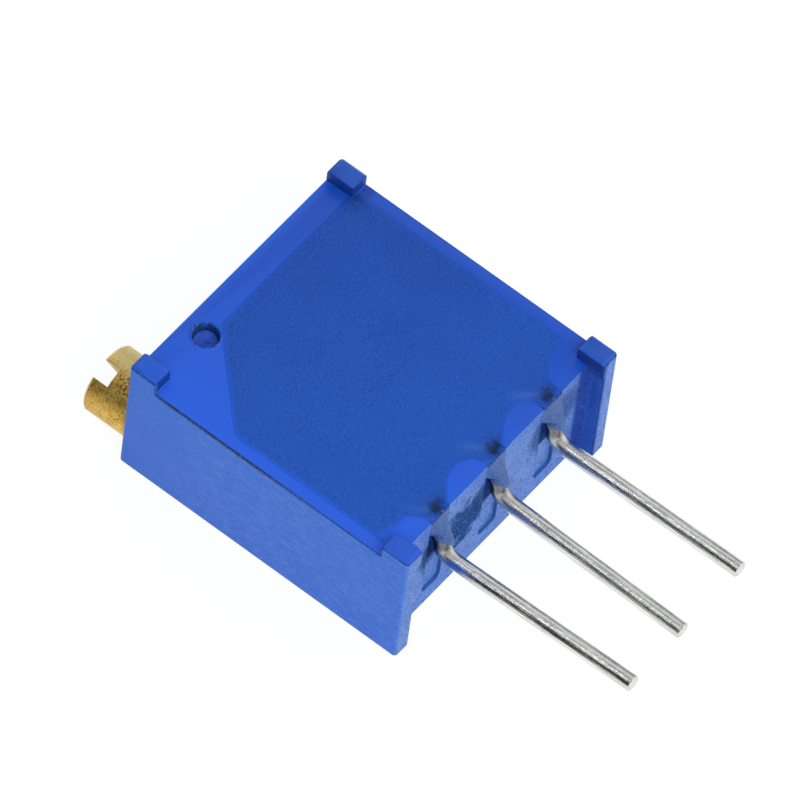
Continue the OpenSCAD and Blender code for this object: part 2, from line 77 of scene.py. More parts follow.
rim_z = node_box("potting")[1][2] - FILM
wall_y = case_lo[1] + FOOT
side_x, end_y = case_hi[:2]
pocket_lo = plate_lo[:2] - PLATE_GAP
pocket_hi = plate_hi[:2] + PLATE_GAP
print("rim height", round(rim_z, 3), "pin wall at", round(wall_y, 3))
print("pocket from", pocket_lo.round(3), "to", pocket_hi.round(3))

# %% Sizes of the wires
# UPRIGHT_OUT is how far the upright stretch stands out of the wall, BEND the first bend's radius and
# SPIRAL the second bend's length. PIN_LIFT is each wire's height over the middle of the case where the
# straight stretch begins, and PIN_RISE its slope in degrees.
PINS = (1, 2, 3)
UPRIGHT_OUT = 0.19
BEND = 0.43
SPIRAL = 0.98
PIN_LIFT = {1: 0.17, 2: 0.2, 3: 0.13}
PIN_RISE = {1: 2.3, 2: -1.9, 3: 1.1}

pin_boxes = {n: node_box(f"pin_{n}") for n in PINS}
pin_x = {n: float(lo[0] + hi[0]) / 2 for n, (lo, hi) in pin_boxes.items()}
pin_r = float(pin_boxes[1][1][0] - pin_boxes[1][0][0]) / 2
seat_z = float(pin_boxes[1][1][2]) - pin_r
drop_y = wall_y - UPRIGHT_OUT
print("pins at", {n: round(x, 3) for n, x in pin_x.items()})
print("their radius", round(pin_r, 3), "and the height of their seat", round(seat_z, 3))

# %% [markdown]
# ## Making surfaces from arrays
#
# Each new piece is a closed surface through rings of points, such as the rings round a wire or the
# rings from the middle of the resin to its edge. numpy works out all the points at once, from how far
# along and how far round they are. `ring_faces` then joins neighbouring rings with quads, and a small
# fan of triangles closes each end.

# %% Surface helpers
def ring_faces(rows, cols, joined=False):
    """Faces of a closed surface through rings: quads between neighbouring rings. The last ring is either
    joined to the first, or each end ring gets a fan of triangles to a middle point after the rings."""
    i, j = np.meshgrid(np.arange(rows if joined else rows - 1), np.arange(cols), indexing="ij")
    k, following = (j + 1) % cols, (i + 1) % rows
    quads = np.stack([i * cols + j, i * cols + k, following * cols + k, following * cols + j], axis=-1)
    if joined:
        return quads.reshape(-1, 4).tolist()
    j, k = j[0], k[0]
    first = np.stack([k, j, np.full(cols, rows * cols)], axis=-1)
    end = (rows - 1) * cols
    last = np.stack([end + j, end + k, np.full(cols, rows * cols + 1)], axis=-1)
    return quads.reshape(-1, 4).tolist() + first.tolist() + last.tolist()


def with_middles(rings):
    """The rings' points in one list, followed by the middle of the first ring and of the last."""
    return np.concatenate([rings.reshape(-1, 3), rings[:1].mean(axis=1), rings[-1:].mean(axis=1)])


def add_object(name, data):
    """Puts a mesh, lamp or camera into the scene, at the origin."""
    added = bpy.data.objects.new(name, data)
    bpy.context.scene.collection.objects.link(added)
    return added


def shade_smooth(mesh, sharp_angle):
    """Smooth shading that breaks at edges sharper than an angle in degrees."""
    mesh.polygons.foreach_set("use_smooth", np.full(len(mesh.polygons), True))
    mesh.set_sharp_from_angle(angle=math.radians(sharp_angle))


def ring_piece(name, rings, material, sharp_angle=50, joined=False):
    """A closed mesh object at the origin through rings of points in millimetres (rows x cols x 3)."""
    points = rings.reshape(-1, 3) if joined else with_middles(rings)
    mesh = bpy.data.meshes.new(name)
    mesh.from_pydata((points * MM).tolist(), [], ring_faces(*rings.shape[:2], joined))
    work = bmesh.new()
    work.from_mesh(mesh)
    bmesh.ops.recalc_face_normals(work, faces=work.faces)
    work.to_mesh(mesh)
    work.free()
    shade_smooth(mesh, sharp_angle)
    mesh.materials.append(material)
    return add_object(name, mesh)


def set_attribute(piece, name, kind, values):
    """Stores a value at every point of a piece, for its material to read."""
    attribute = piece.data.attributes.new(name, kind, "POINT")
    field = "vector" if kind == "FLOAT_VECTOR" else "value"
    attribute.data.foreach_set(field, np.ascontiguousarray(values, dtype=np.float32).ravel())


print("a tube of 3 rings of 8 points has", len(ring_faces(3, 8)), "faces")

# %% Curves and random fields
def smoothstep(t):
    """A soft ramp from 0 to 1 with level ends: 3t^2 - 2t^3."""
    t = np.clip(t, 0.0, 1.0)
    return t * t * (3 - 2 * t)


def hill(distance, width):
    """A bell of height 1 and the given half width: exp(-(distance / width)^2)."""
    return np.exp(-(distance / width) ** 2)


def full_turn(count):
    """Evenly spaced angles round a circle."""
    return np.linspace(0, 2 * np.pi, count, endpoint=False)


LATTICE = 64


def soft_noise(x, y, cell, seed):
    """Smooth random field from -1 to 1: random values on a square lattice, blended by smoothsteps."""
    lattice = np.random.default_rng(seed).uniform(-1, 1, (LATTICE, LATTICE))
    u, v = np.asarray(x) / cell, np.asarray(y) / cell
    i, j = np.floor(u).astype(int), np.floor(v).astype(int)
    s, t = smoothstep(u - i), smoothstep(v - j)
    corner = lambda a, b: lattice[(i + a) % LATTICE, (j + b) % LATTICE]
    near = corner(0, 0) * (1 - s) + corner(1, 0) * s
    far = corner(0, 1) * (1 - s) + corner(1, 1) * s
    return near * (1 - t) + far * t


def soft_max(a, b, blend):
    """The larger of two arrays, with a fillet where they cross:
    blend * log(exp(a / blend) + exp(b / blend))."""
    return np.maximum(a, b) + blend * np.log1p(np.exp(-np.abs(a - b) / blend))


print("noise sample:", soft_noise(np.array([0.3, 0.6]), np.array([0.2, 0.9]), 1.0, 3).round(3))

# %% [markdown]
# ## Making materials
#
# All the finishes are built from a few kinds of node, so the helpers below add them, each to the node
# tree that its inputs come from. Patterns read Object coordinates, scaled to millimetres: a noise scale
# of 20 then means a grain of a twentieth of a millimetre. `spot` marks a place on the part, for a stain,
# a scrape or a patch of painted shade that is only there.

# %% Material helpers
def new_material(name, color, roughness, metallic=0.0, gloss=0.5):
    """A material with a Principled shader of one colour, given back with its node tree and its shader.
    gloss is the strength of the reflection, and 0.5 is the usual one of plastic."""
    material = bpy.data.materials.new(name)
    material.use_nodes = True
    tree = material.node_tree
    shader = tree.nodes["Principled BSDF"]
    shader.inputs["Base Color"].default_value = (*color, 1)
    shader.inputs["Roughness"].default_value = roughness
    shader.inputs["Metallic"].default_value = metallic
    shader.inputs["Specular IOR Level"].default_value = gloss
    return material, tree, shader


def feed(sockets, *values):
    """Gives each socket its value: a number, a colour or place, or the output of another node."""
    for socket, value in zip(sockets, values):
        if isinstance(value, bpy.types.NodeSocket):
            socket.id_data.links.new(value, socket)
        elif isinstance(value, tuple) and len(socket.default_value) == 4:
            socket.default_value = (*value, 1)
        else:
            socket.default_value = value


def new_node(kind, *values):
    """A new node in the tree that the values come from. At least one of them is a node's output."""
    output = next(value for value in values if isinstance(value, bpy.types.NodeSocket))
    return output.id_data.nodes.new("ShaderNode" + kind)


def stretched(vector, factors):
    """A place with each of its parts multiplied by a factor."""
    mapping = new_node("Mapping", vector)
    feed((mapping.inputs["Vector"], mapping.inputs["Scale"]), vector, factors)
    return mapping.outputs["Vector"]


def millimetres(tree, stretch=(1, 1, 1)):
    """Object coordinates in millimetres, squeezed by a factor along each axis."""
    place = tree.nodes.new("ShaderNodeTexCoord").outputs["Object"]
    return stretched(place, tuple(s / MM for s in stretch))


def stored(tree, name):
    """What a piece's mesh stores under a name, as a node's outputs."""
    node = tree.nodes.new("ShaderNodeAttribute")
    node.attribute_name = name
    return node.outputs


def noise(vector, scale, detail=2.0, roughness=0.5):
    """Noise with a scale per millimetre."""
    node = new_node("TexNoise", vector)
    sockets = [node.inputs[name] for name in ("Vector", "Scale", "Detail", "Roughness")]
    feed(sockets, vector, scale, detail, roughness)
    return node.outputs["Fac"]


def remap(value, low, high, new_low=0.0, new_high=1.0):
    """Stretches the values from low..high to new_low..new_high, and holds them there outside."""
    node = new_node("MapRange", value)
    feed(node.inputs, value, low, high, new_low, new_high)
    return node.outputs["Result"]


def arith(operation, a, b=0.0):
    """One sum, product or other operation on two values, one of which may be a plain number."""
    node = new_node("Math", a, b)
    node.operation = operation
    feed(node.inputs, a, b)
    return node.outputs["Value"]


def vector_arith(operation, a, b=(0, 0, 0)):
    """One operation on two places or directions, or the length of one."""
    node = new_node("VectorMath", a, b)
    node.operation = operation
    feed(node.inputs, a, b)
    return node.outputs["Value" if operation == "LENGTH" else "Vector"]


def product(first, *others):
    """The product of several values, which is the overlap of several masks."""
    for other in others:
        first = arith("MULTIPLY", first, other)
    return first


print("nodes can be added and fed")

# %% Masks and colours
def band(value, low, high, soft):
    """1 between two bounds and 0 beyond them, with soft edges."""
    return product(remap(value, low - soft, low), remap(value, high + soft, high))


def axes(vector):
    """The three parts of a vector."""
    node = new_node("SeparateXYZ", vector)
    feed(node.inputs, vector)
    return node.outputs


def blend_colors(factor, first, second):
    """Mixes two colours by a factor. The mix node has sockets for several kinds of data, and only those
    of the kind in use are enabled."""
    node = new_node("Mix", factor)
    node.data_type = "RGBA"
    feed([s for s in node.inputs if s.enabled], factor, first, second)
    return [s for s in node.outputs if s.enabled][0]


def spot(place, centre, stretch, radius, ragged=0.0, grain=None):
    """1 inside a stretched ball about a place in millimetres and 0 outside, with a soft edge. A noise
    can make its edge ragged."""
    offset = vector_arith("MULTIPLY", vector_arith("SUBTRACT", place, centre), stretch)
    distance = vector_arith("LENGTH", offset)
    if grain is not None:
        distance = arith("ADD", distance, remap(grain, 0.3, 0.7, -ragged, ragged))
    return remap(distance, radius, 0.6 * radius)


def bump(shader, height, depth):
    """Bumps the shader's surface by a height pattern, depth being its full height in millimetres."""
    node = new_node("Bump", height)
    sockets = [node.inputs[name] for name in ("Height", "Strength", "Distance")]
    feed(sockets, height, 1.0, depth * MM)
    feed([shader.inputs["Normal"]], node.outputs["Normal"])


print("masks and colours can be mixed")

# %% [markdown]
# ## The moulded plastic of the case
#
# The case is an engineering plastic, vivid blue in the mass. The mould leaves its outer walls finely
# frosted, with small pits on the wall that the pins leave by, and its rim smooth. So one material has
# to look different on differently facing faces: the object's own normal tells it which is which, and
# the frost, pits, dirt, a dark edge line, painted shade and the scraped patch between two pins are
# noises that are switched on there. The tops also carry painted light falloff and a painted highlight.

# %% Colours of the case
# Rim and nub tops: each near colour passes into its far one as painted light falloff. The rim's third
# colour is a painted highlight along its far edges, and the nubs' third is painted shade on their inner
# sides.
RIM_NEAR, RIM_FAR, RIM_EDGE_HIGHLIGHT = (0.012, 0.125, 0.84), (0.007, 0.086, 0.58), (0.018, 0.15, 0.9)
NUB_NEAR, NUB_FAR, NUB_SIDE_SHADE = (0.015, 0.112, 0.68), (0.018, 0.1, 0.52), (0.005, 0.05, 0.33)
WALL_BLUE, WALL_FROST = (0.022, 0.178, 0.88), (0.1, 0.3, 0.96)
PIN_WALL, PIN_FROST = (0.07, 0.22, 0.74), (0.34, 0.52, 0.95)
PIT_BLUE, SCRAPE_BLUE, SCRAPE_TEAL = (0.006, 0.05, 0.24), (0.002, 0.04, 0.25), (0.01, 0.15, 0.36)
# Painted shade: the cove's blue, which also darkens the rim at the far nub's base, and the recesses'
# blue. On the next line the first colour is painted shade on the pin wall by the wires, and the second
# darkens a line along the near rim and the dirty outer edges.
COVE_SHADE_BLUE, RECESS_SHADE_BLUE = (0.002, 0.048, 0.38), (0.04, 0.13, 0.42)
WALL_SHADE, EDGE_DARK = (0.006, 0.04, 0.17), (0.006, 0.025, 0.08)
HOLE_SHADE, RING_FLECK = (0.004, 0.028, 0.13), (0.1, 0.28, 0.85)
print("walls are", WALL_BLUE, "and the rim is", RIM_NEAR, "to", RIM_FAR)


# %% Frost and pits of the walls
def frosted_wall(place, x, y, pinward, grain):
    """Colour of the clean upright faces, and where they are pitted. Frost lies in streaks along the long
    walls, which fade towards the screw, and as a pitted grain on the pin wall. The recesses' inner faces
    are painted a darker, greyer blue as painted shade."""
    patches = remap(noise(place, 1.1, 2), 0.3, 0.7, 0.35, 1.0)
    frost = product(remap(grain, 0.47, 0.66), patches)
    streaks = noise(millimetres(place.id_data, (1, 0.22, 1)), 15, 3, 0.7)
    streaks = product(remap(streaks, 0.45, 0.66), remap(y, 4.6, 1.5, 0.1, 0.95))
    wall = blend_colors(arith("MAXIMUM", streaks, frost), WALL_BLUE, WALL_FROST)
    wall = blend_colors(pinward, wall, blend_colors(frost, PIN_WALL, PIN_FROST))
    # Painted shade: the recesses' faces that don't face the pins.
    recess = product(remap(y, wall_y + 0.455, wall_y + 0.305), band(x, -3.5, 3.5, 0.1),
                     arith("SUBTRACT", 1.0, pinward))
    wall = blend_colors(recess, wall, RECESS_SHADE_BLUE)
    pits = product(remap(noise(place, 14, 3, 0.7), 0.57, 0.66), pinward)
    return blend_colors(product(pits, 0.8), wall, PIT_BLUE), pits


print("walls frosted")

# %% Painted shade and scrape of the pin wall
# Each patch of painted shade beside a wire's start has a wire, its place across from that wire, its
# height and its strength. The places across of the painted shade lines down the recesses are counted
# from the wires too.
SHADE_PATCHES = ((1, -0.2, 2.6, 0.8), (2, -0.25, 2.8, 0.65), (3, -0.3, 3.0, 0.55), (3, 0.75, 3.2, 0.5))
FAR_COVE = (3.88, 4.14)
SHADE_LINE_ACROSS, SHADE_LINE_HEIGHTS = (-0.44, -0.39), (1.5, 3.1)
SCRAPE_X, SCRAPE_Z = -1.2, 2.45


def shaded_and_scraped_wall(place, x, y, z, pinward, coarse, wall, pits):
    """Marks over the walls' colour: painted shade in the cove before the far foot, patches of painted
    shade beside the wires below the notches, a painted shade line down one edge of each recess, and a
    real scraped patch between the first two wires. Gives the colour, how far the walls are hollowed, and
    how matt they are."""
    shade = product(band(x, *FAR_COVE, 0.2), remap(y, wall_y + 0.355, wall_y + 0.155),
                    remap(coarse, 0.3, 0.6, 1.0, 0.75))
    wall = blend_colors(shade, wall, COVE_SHADE_BLUE)
    matt = arith("MAXIMUM", pits, shade)
    # Painted shade beside each wire's start, and a painted shade line down one edge of its recess.
    for n, across, height, strength in SHADE_PATCHES:
        painted_shade = spot(place, (pin_x[n] + across, wall_y, height), (1.0, 0.5, 0.75), 0.7, 0.15, coarse)
        painted_shade = product(painted_shade, strength)
        wall = blend_colors(painted_shade, wall, WALL_SHADE)
        matt = arith("MAXIMUM", matt, painted_shade)
        shade_line = product(band(x, *[pin_x[n] + side for side in SHADE_LINE_ACROSS], 0.03),
                         band(z, *SHADE_LINE_HEIGHTS, 0.15), pinward)
        shade_line = product(shade_line, remap(coarse, 0.35, 0.5, 0.25, 0.6))
        wall = blend_colors(shade_line, wall, WALL_SHADE)
    torn = noise(place, 2.3, 5, 0.75)
    scrape = spot(place, (SCRAPE_X, wall_y, SCRAPE_Z), (1.1, 1.0, 0.95), 1.1, 0.5, torn)
    scrape = product(scrape, remap(coarse, 0.36, 0.5, 0.6, 1.0), pinward)
    teal = remap(noise(place, 15, 2, 0.6), 0.52, 0.62)
    wall = blend_colors(scrape, wall, blend_colors(teal, SCRAPE_BLUE, SCRAPE_TEAL))
    return wall, arith("ADD", pits, scrape), arith("MAXIMUM", matt, scrape)


print("patches of soot:", len(SHADE_PATCHES))


# %% Rim and nubs
def painted_falloff(x, y, near, far):
    """A colour that passes into a second one across the part, by x + 0.35 y: painted light falloff."""
    away = remap(arith("ADD", x, product(y, 0.35)), -3.5, 5.0)
    return blend_colors(away, near, far)


def top_pattern(place, x, y, z, grain):
    """Colour of the faces that look up: the rim, with a painted highlight along its far edges and
    painted shade at the base of the far nub, and the tops of the nubs. All are brighter towards the near
    end, as painted light falloff."""
    # Painted highlight: the rim turns lighter in a band along its far outer edges.
    edge = arith("MAXIMUM", remap(x, side_x - 0.265, side_x - 0.015, 0.0, 0.3),
                 remap(y, end_y - 0.295, end_y - 0.015))
    rim = blend_colors(product(edge, 0.75), painted_falloff(x, y, RIM_NEAR, RIM_FAR), RIM_EDGE_HIGHLIGHT)
    # Painted shade on the rim at the base of the far nub.
    nub_base_shade = spot(place, (4.3, 3.9, rim_z), (0.75, 1.5, 0.5), 0.5, 0.15, grain)
    rim = blend_colors(product(nub_base_shade, 0.75), rim, COVE_SHADE_BLUE)
    nub = product(remap(z, rim_z + 0.2, rim_z + 0.4), remap(grain, 0.3, 0.7, 0.4, 1.0))
    return blend_colors(nub, rim, painted_falloff(x, y, NUB_NEAR, NUB_FAR))


print("nubs stand", round(case_hi[2] - rim_z, 3), "mm over the rim")

# %% Marks round the peg's hole
peg_lo, peg_hi = node_box("retaining_peg")
peg_x, peg_y = (peg_lo[:2] + peg_hi[:2]) / 2
peg_r = (peg_hi[0] - peg_lo[0]) / 2


def hole_marks(place, y, coarse, color):
    """The colour with pale flecks on the raised ring's pin side, and with shade round the hole."""
    at_hole = (peg_x, peg_y, 0), (1, 1, 0)
    fleck = product(spot(place, *at_hole, peg_r + 0.2, 0.03, coarse),
                    remap(noise(place, 17, 2), 0.6, 0.66), remap(y, peg_y + 0.1, peg_y - 0.2))
    color = blend_colors(product(fleck, 0.7), color, RING_FLECK)
    shade = spot(place, *at_hole, peg_r + 0.09, 0.07, coarse)
    return blend_colors(product(remap(shade, 0.08, 0.36), 0.85), color, HOLE_SHADE)


print("the peg's hole is at", round(float(peg_x), 3), round(float(peg_y), 3))

# %% Dark line and dirty patches along the edges
EDGE_RADIUS = 0.035
NUB_LENGTH = 0.95
nub_y = end_y - NUB_LENGTH


def edge_darkness(place, x, y, z, coarse, share):
    """How dark the edges are: a jagged dark line along the near rim and nub, and dirty patches along all
    outer edges in the share that is given."""
    jagged = product(arith("SUBTRACT", noise(place, 8, 4, 0.8), 0.5), 0.3)
    height = arith("ADD", z, jagged)
    # A dark jagged line along the near rim and along the near nub's top edge.
    rim_line = product(band(height, rim_z - 0.085, rim_z + 0.03, 0.03),
                       remap(y, -2.8, 0.3), remap(y, nub_y - 0.005, nub_y - 0.065))
    nub_line = product(remap(height, case_hi[2] - 0.09, case_hi[2] - 0.05),
                       remap(y, nub_y - 0.165, nub_y - 0.065))
    line = product(arith("MAXIMUM", rim_line, nub_line), remap(x, 0.065 - side_x, 0.015 - side_x))
    darkness = product(line, remap(coarse, 0.34, 0.5, 0.35, 0.95))
    if not share:
        return darkness
    outer = arith("MAXIMUM", remap(arith("ABSOLUTE", x), side_x - 0.105, side_x - EDGE_RADIUS),
                  remap(arith("ABSOLUTE", y), end_y - 0.095, end_y - EDGE_RADIUS))
    rubbed = product(remap(coarse, 0.35, 0.6, 0.2, 1.0), remap(outer, 0.0, 1.0, 0.12, 1.0), share)
    return arith("MAXIMUM", darkness, rubbed)


print("the near nub starts at", round(float(nub_y), 3))


# %% Case plastic
def case_finish(name, dirt_share, gloss):
    """The moulded plastic. dirt_share is the share of dirty patches on the outer edges, and 0 for whole
    faces.
    """
    material, tree, shader = new_material(name, WALL_BLUE, 0.45, gloss=gloss)
    place = millimetres(tree)
    x, y, z = axes(place)
    facing = axes(tree.nodes.new("ShaderNodeTexCoord").outputs["Normal"])
    upward = product(remap(facing[2], 0.6, 0.8), remap(z, rim_z - 0.4, rim_z - 0.3))
    pinward = remap(facing[1], -0.6, -0.8)
    grain = noise(place, 22, 3, 0.65)
    coarse = noise(place, 9, 4, 0.75)

    wall, pits = frosted_wall(place, x, y, pinward, grain)
    wall, hollow, matt = shaded_and_scraped_wall(place, x, y, z, pinward, coarse, wall, pits)
    edge_y, inner_y = end_y - EDGE_RADIUS, end_y - EDGE_RADIUS - 0.05
    # Painted shade on the nubs' inner sides, above the rim.
    nub_side_shade = product(remap(z, rim_z, rim_z + 0.05),
                         remap(arith("ABSOLUTE", x), side_x - EDGE_RADIUS, side_x - 0.085),
                         remap(y, -edge_y, -inner_y), remap(y, edge_y, inner_y))
    wall = blend_colors(nub_side_shade, wall, NUB_SIDE_SHADE)
    color = blend_colors(upward, wall, top_pattern(place, x, y, z, grain))
    color = hole_marks(place, y, coarse, color)
    darkness = edge_darkness(place, x, y, z, coarse, dirt_share)
    feed([shader.inputs["Base Color"]], blend_colors(darkness, color, EDGE_DARK))

    height = arith("SUBTRACT", grain, product(hollow, 0.8))
    height = product(height, remap(facing[2], 0.6, 0.8, 1.0, 0.35))
    roughness = remap(facing[2], 0.6, 0.8, 0.5, 0.38)
    feed([shader.inputs["Roughness"]], arith("ADD", roughness, product(matt, 0.5)))
    bump(shader, height, 0.016)
    return material


case_plastic = case_finish("case_plastic", 0.0, 0.42)
worn_edge = case_finish("worn_edge", 0.7, 0.25)
print("case plastic with", len(case_plastic.node_tree.nodes), "nodes")

# %% [markdown]
# ## The cast resin
#
# The back is filled with an epoxy of a deeper, duller blue. Its filler leaves a fine, dusty grain, and
# where it thins out over the rim the brighter plastic shows through. The piece that carries it stores
# how thick it is at every point, in an attribute called cover, and the colour follows that.

# %% Resin
# The second colour of each three (the resin here, the runs below) is painted shade that the painted
# light falloff reaches far from the near end; the dark grains take a deeper blue made from it.
RESIN_BLUE = (0.006, 0.099, 0.575)
RESIN_FAR_SHADE = (0.004, 0.076, 0.45)
RESIN_DUST = (0.034, 0.13, 0.62)
# The runs' first colour is greyer and lighter than the resin's: painted sheen of light from above on
# their sloping faces. Their third colour is a real dust grain.
RUN_SHEEN_BLUE = (0.08, 0.16, 0.42)
RUN_FAR_SHADE = (0.02, 0.075, 0.26)
RUN_DUST = (0.12, 0.22, 0.5)
SMEAR_BLUE = (0.06, 0.19, 0.62)
PIT_SHADE = (0.003, 0.022, 0.1)


def resin_finish(name, blue, dark, dust, mottle):
    """The epoxy: a blue that darkens across the part, as painted light falloff, and in clouds, with dark
    and dusty grains. Where the attribute cover is low the case's blue shows through, where smear is high
    it is dusty, and where pit is high it is painted in deep shade."""
    deep = (0.2 * dark[0], 0.66 * dark[1], 0.86 * dark[2])
    material, tree, shader = new_material(name, blue, 0.5, gloss=0.35)
    place = millimetres(tree)
    x, y, _ = axes(place)
    # Painted light falloff: the resin darkens away from the near end.
    falloff_slope = remap(arith("ADD", arith("MULTIPLY", x, 0.6), y), -3.0, 6.0)
    clouds = remap(noise(place, mottle, 3), 0.35, 0.65, -0.2, 0.2)
    color = blend_colors(arith("ADD", falloff_slope, clouds), blue, dark)
    grain = noise(place, 20, 3, 0.75)
    color = blend_colors(remap(grain, 0.47, 0.34, 0.0, 0.9), color, deep)
    color = blend_colors(remap(grain, 0.53, 0.68, 0.0, 0.9), color, dust)
    dusty = product(stored(tree, "smear")["Fac"], remap(grain, 0.3, 0.7, 0.4, 1.0))
    color = blend_colors(dusty, color, SMEAR_BLUE)
    color = blend_colors(stored(tree, "pit")["Fac"], color, PIT_SHADE)
    waver = remap(noise(place, 4, 3, 0.6), 0.3, 0.7, -0.12, 0.12)
    cover = remap(arith("ADD", stored(tree, "cover")["Fac"], waver), 0.05, 0.85)
    color = blend_colors(cover, painted_falloff(x, y, RIM_NEAR, RIM_FAR), color)
    feed([shader.inputs["Base Color"]], color)
    bump(shader, grain, 0.012)
    return material


resin = resin_finish("resin", RESIN_BLUE, RESIN_FAR_SHADE, RESIN_DUST, 0.55)
dust_and_sheen_run = resin_finish("resin_run_dust_and_sheen", RUN_SHEEN_BLUE, RUN_FAR_SHADE, RUN_DUST, 3.0)
print("resin with", len(resin.node_tree.nodes), "nodes")

# %% [markdown]
# ## Metals
#
# Metals take their look from what they reflect, so their patterns act mostly on the roughness and the
# bump, though the top of the screw's head carries a painted highlight and each wire a painted shade
# where it leaves the resin. The tinned wire is drawn, and its streaks run along it: the wire's mesh
# stores its own coordinates, round the wire and along it, and the noise is stretched along the second.

# %% Brass
BRASS, BRASS_PALE, BRASS_TOP_HIGHLIGHT = (0.72, 0.42, 0.05), (0.9, 0.66, 0.2), (1.0, 0.82, 0.34)
BRASS_BROWN, BRASS_RED = (0.33, 0.17, 0.015), (0.2, 0.06, 0.03)
screw_lo, screw_hi = node_box("adjusting_screw")
head_x, head_z = (screw_lo[0] + screw_hi[0]) / 2, (screw_lo[2] + screw_hi[2]) / 2
head_y = screw_hi[1]

brass, tree, shader = new_material("turned_brass", BRASS, 0.34, 1.0)
place = millimetres(tree)
x, y, z = axes(place)
grain = noise(place, 13, 4, 0.75)
stain = remap(noise(place, 2.4, 4, 0.7), 0.45, 0.62, 0.0, 0.33)
tarnish = remap(y, head_y - 0.695, head_y - 0.095, 0.0, 0.3)
color = blend_colors(remap(grain, 0.4, 0.62), BRASS, BRASS_PALE)
color = blend_colors(arith("MAXIMUM", stain, tarnish), color, BRASS_BROWN)
color = blend_colors(remap(grain, 0.45, 0.36), color, BRASS_BROWN)
scorch = spot(place, (head_x - 0.35, head_y - 0.995, head_z + 0.95), (1, 1, 1), 0.38, 0.12, grain)
scorch = product(scorch, remap(grain, 0.4, 0.55, 0.9, 0.1))
color = blend_colors(scorch, color, BRASS_RED)
# Painted highlight: the top of the screw's head turns paler and less metallic.
top_highlight = product(remap(z, head_z + 0.4, head_z + 0.85, 0.0, 0.85), remap(grain, 0.36, 0.5, 0.6, 1.0),
               remap(y, head_y - 1.145, head_y - 0.795), remap(x, head_x - 0.2, head_x + 0.05))
feed([shader.inputs["Base Color"]], blend_colors(top_highlight, color, BRASS_TOP_HIGHLIGHT))
feed([shader.inputs["Metallic"]], remap(top_highlight, 0.0, 1.0, 1.0, 0.45))
feed([shader.inputs["Roughness"]], remap(grain, 0.3, 0.7, 0.3, 0.5))
bump(shader, grain, 0.02)
print("brass ready, screw axis at", round(float(head_x), 3), round(float(head_z), 3))

# %% Tin
TIN, TIN_DULL, TIN_BRIGHT = (0.72, 0.72, 0.7), (0.55, 0.55, 0.54), (0.88, 0.88, 0.86)
NICK_AND_SHADE_GREY = (0.09, 0.09, 0.09)
DRAWN = (17, 17, 0.8)
ROOT_SHADE_REACH = 0.62

tin, tree, shader = new_material("tinned_wire", TIN, 0.3, 1.0)
along = stored(tree, "wire_place")["Vector"]
streaks = noise(stretched(along, DRAWN), 1.0, 4, 0.65)
mottle = noise(along, 10, 3, 0.7)
color = blend_colors(remap(streaks, 0.36, 0.6), TIN_DULL, TIN_BRIGHT)
# Painted shade: the wire is dark in the resin and over its first bend, fading over the next stretch, and
# this is joined with the real dark nicks.
root_shade = product(remap(axes(along)[2], ROOT_SHADE_REACH, 0.0), remap(mottle, 0.3, 0.6, 0.95, 0.75))
nicks_and_root_shade = arith("MAXIMUM", remap(mottle, 0.66, 0.74, 0.0, 0.8), root_shade)
feed([shader.inputs["Base Color"]], blend_colors(nicks_and_root_shade, color, NICK_AND_SHADE_GREY))
feed([shader.inputs["Roughness"]], remap(mottle, 0.35, 0.65, 0.12, 0.22))
bump(shader, arith("ADD", streaks, arith("MULTIPLY", mottle, 0.6)), 0.011)
print("tin with", len(tree.nodes), "nodes")

# %% [markdown]
# ## Finishes of the pieces inside
#
# The pieces inside the case are plain: natural nylon, alumina, printed silver and cermet films, spring
# alloy and solder. Each has a base colour that clouds over to a second shade, and a fine grain.

# %% Inner finishes
def plain_finish(name, color, shade, roughness, scale, metallic=0.0, depth=0.004, finer=6):
    """A finish of one colour that clouds over to a second shade, with a bump that is finer than the
    clouds by a factor."""
    material, tree, shader = new_material(name, color, roughness, metallic)
    place = millimetres(tree)
    cloud = remap(noise(place, scale, 3), 0.35, 0.65)
    feed([shader.inputs["Base Color"]], blend_colors(cloud, color, shade))
    bump(shader, noise(place, finer * scale, 3), depth)
    return material


nylon = plain_finish("natural_nylon", (0.78, 0.75, 0.66), (0.7, 0.67, 0.57), 0.45, 1.5)
nylon_shader = nylon.node_tree.nodes["Principled BSDF"]
nylon_shader.inputs["Subsurface Weight"].default_value = 0.2
nylon_shader.inputs["Subsurface Scale"].default_value = 0.3 * MM
alumina = plain_finish("alumina", (0.82, 0.79, 0.73), (0.74, 0.71, 0.66), 0.6, 2.0)
cermet = plain_finish("cermet_film", (0.028, 0.028, 0.03), (0.05, 0.05, 0.052), 0.5, 4.0)
silver_print = plain_finish("silver_print", (0.66, 0.65, 0.6), (0.52, 0.5, 0.45), 0.42, 5.0, 1.0)
spring_alloy = plain_finish("spring_alloy", (0.75, 0.5, 0.28), (0.65, 0.4, 0.2), 0.28, 3.0, 1.0, 0.002)
solder = plain_finish("solder", (0.62, 0.63, 0.64), (0.4, 0.41, 0.43), 0.32, 3.0, 1.0, 0.008, 3)
rubber = plain_finish("seal_rubber", (0.02, 0.02, 0.022), (0.035, 0.035, 0.037), 0.5, 5.0)
peg_plastic = plain_finish("peg_plastic", (0.008, 0.08, 0.56), (0.02, 0.11, 0.62), 0.45, 7.0, 0.0, 0.01)

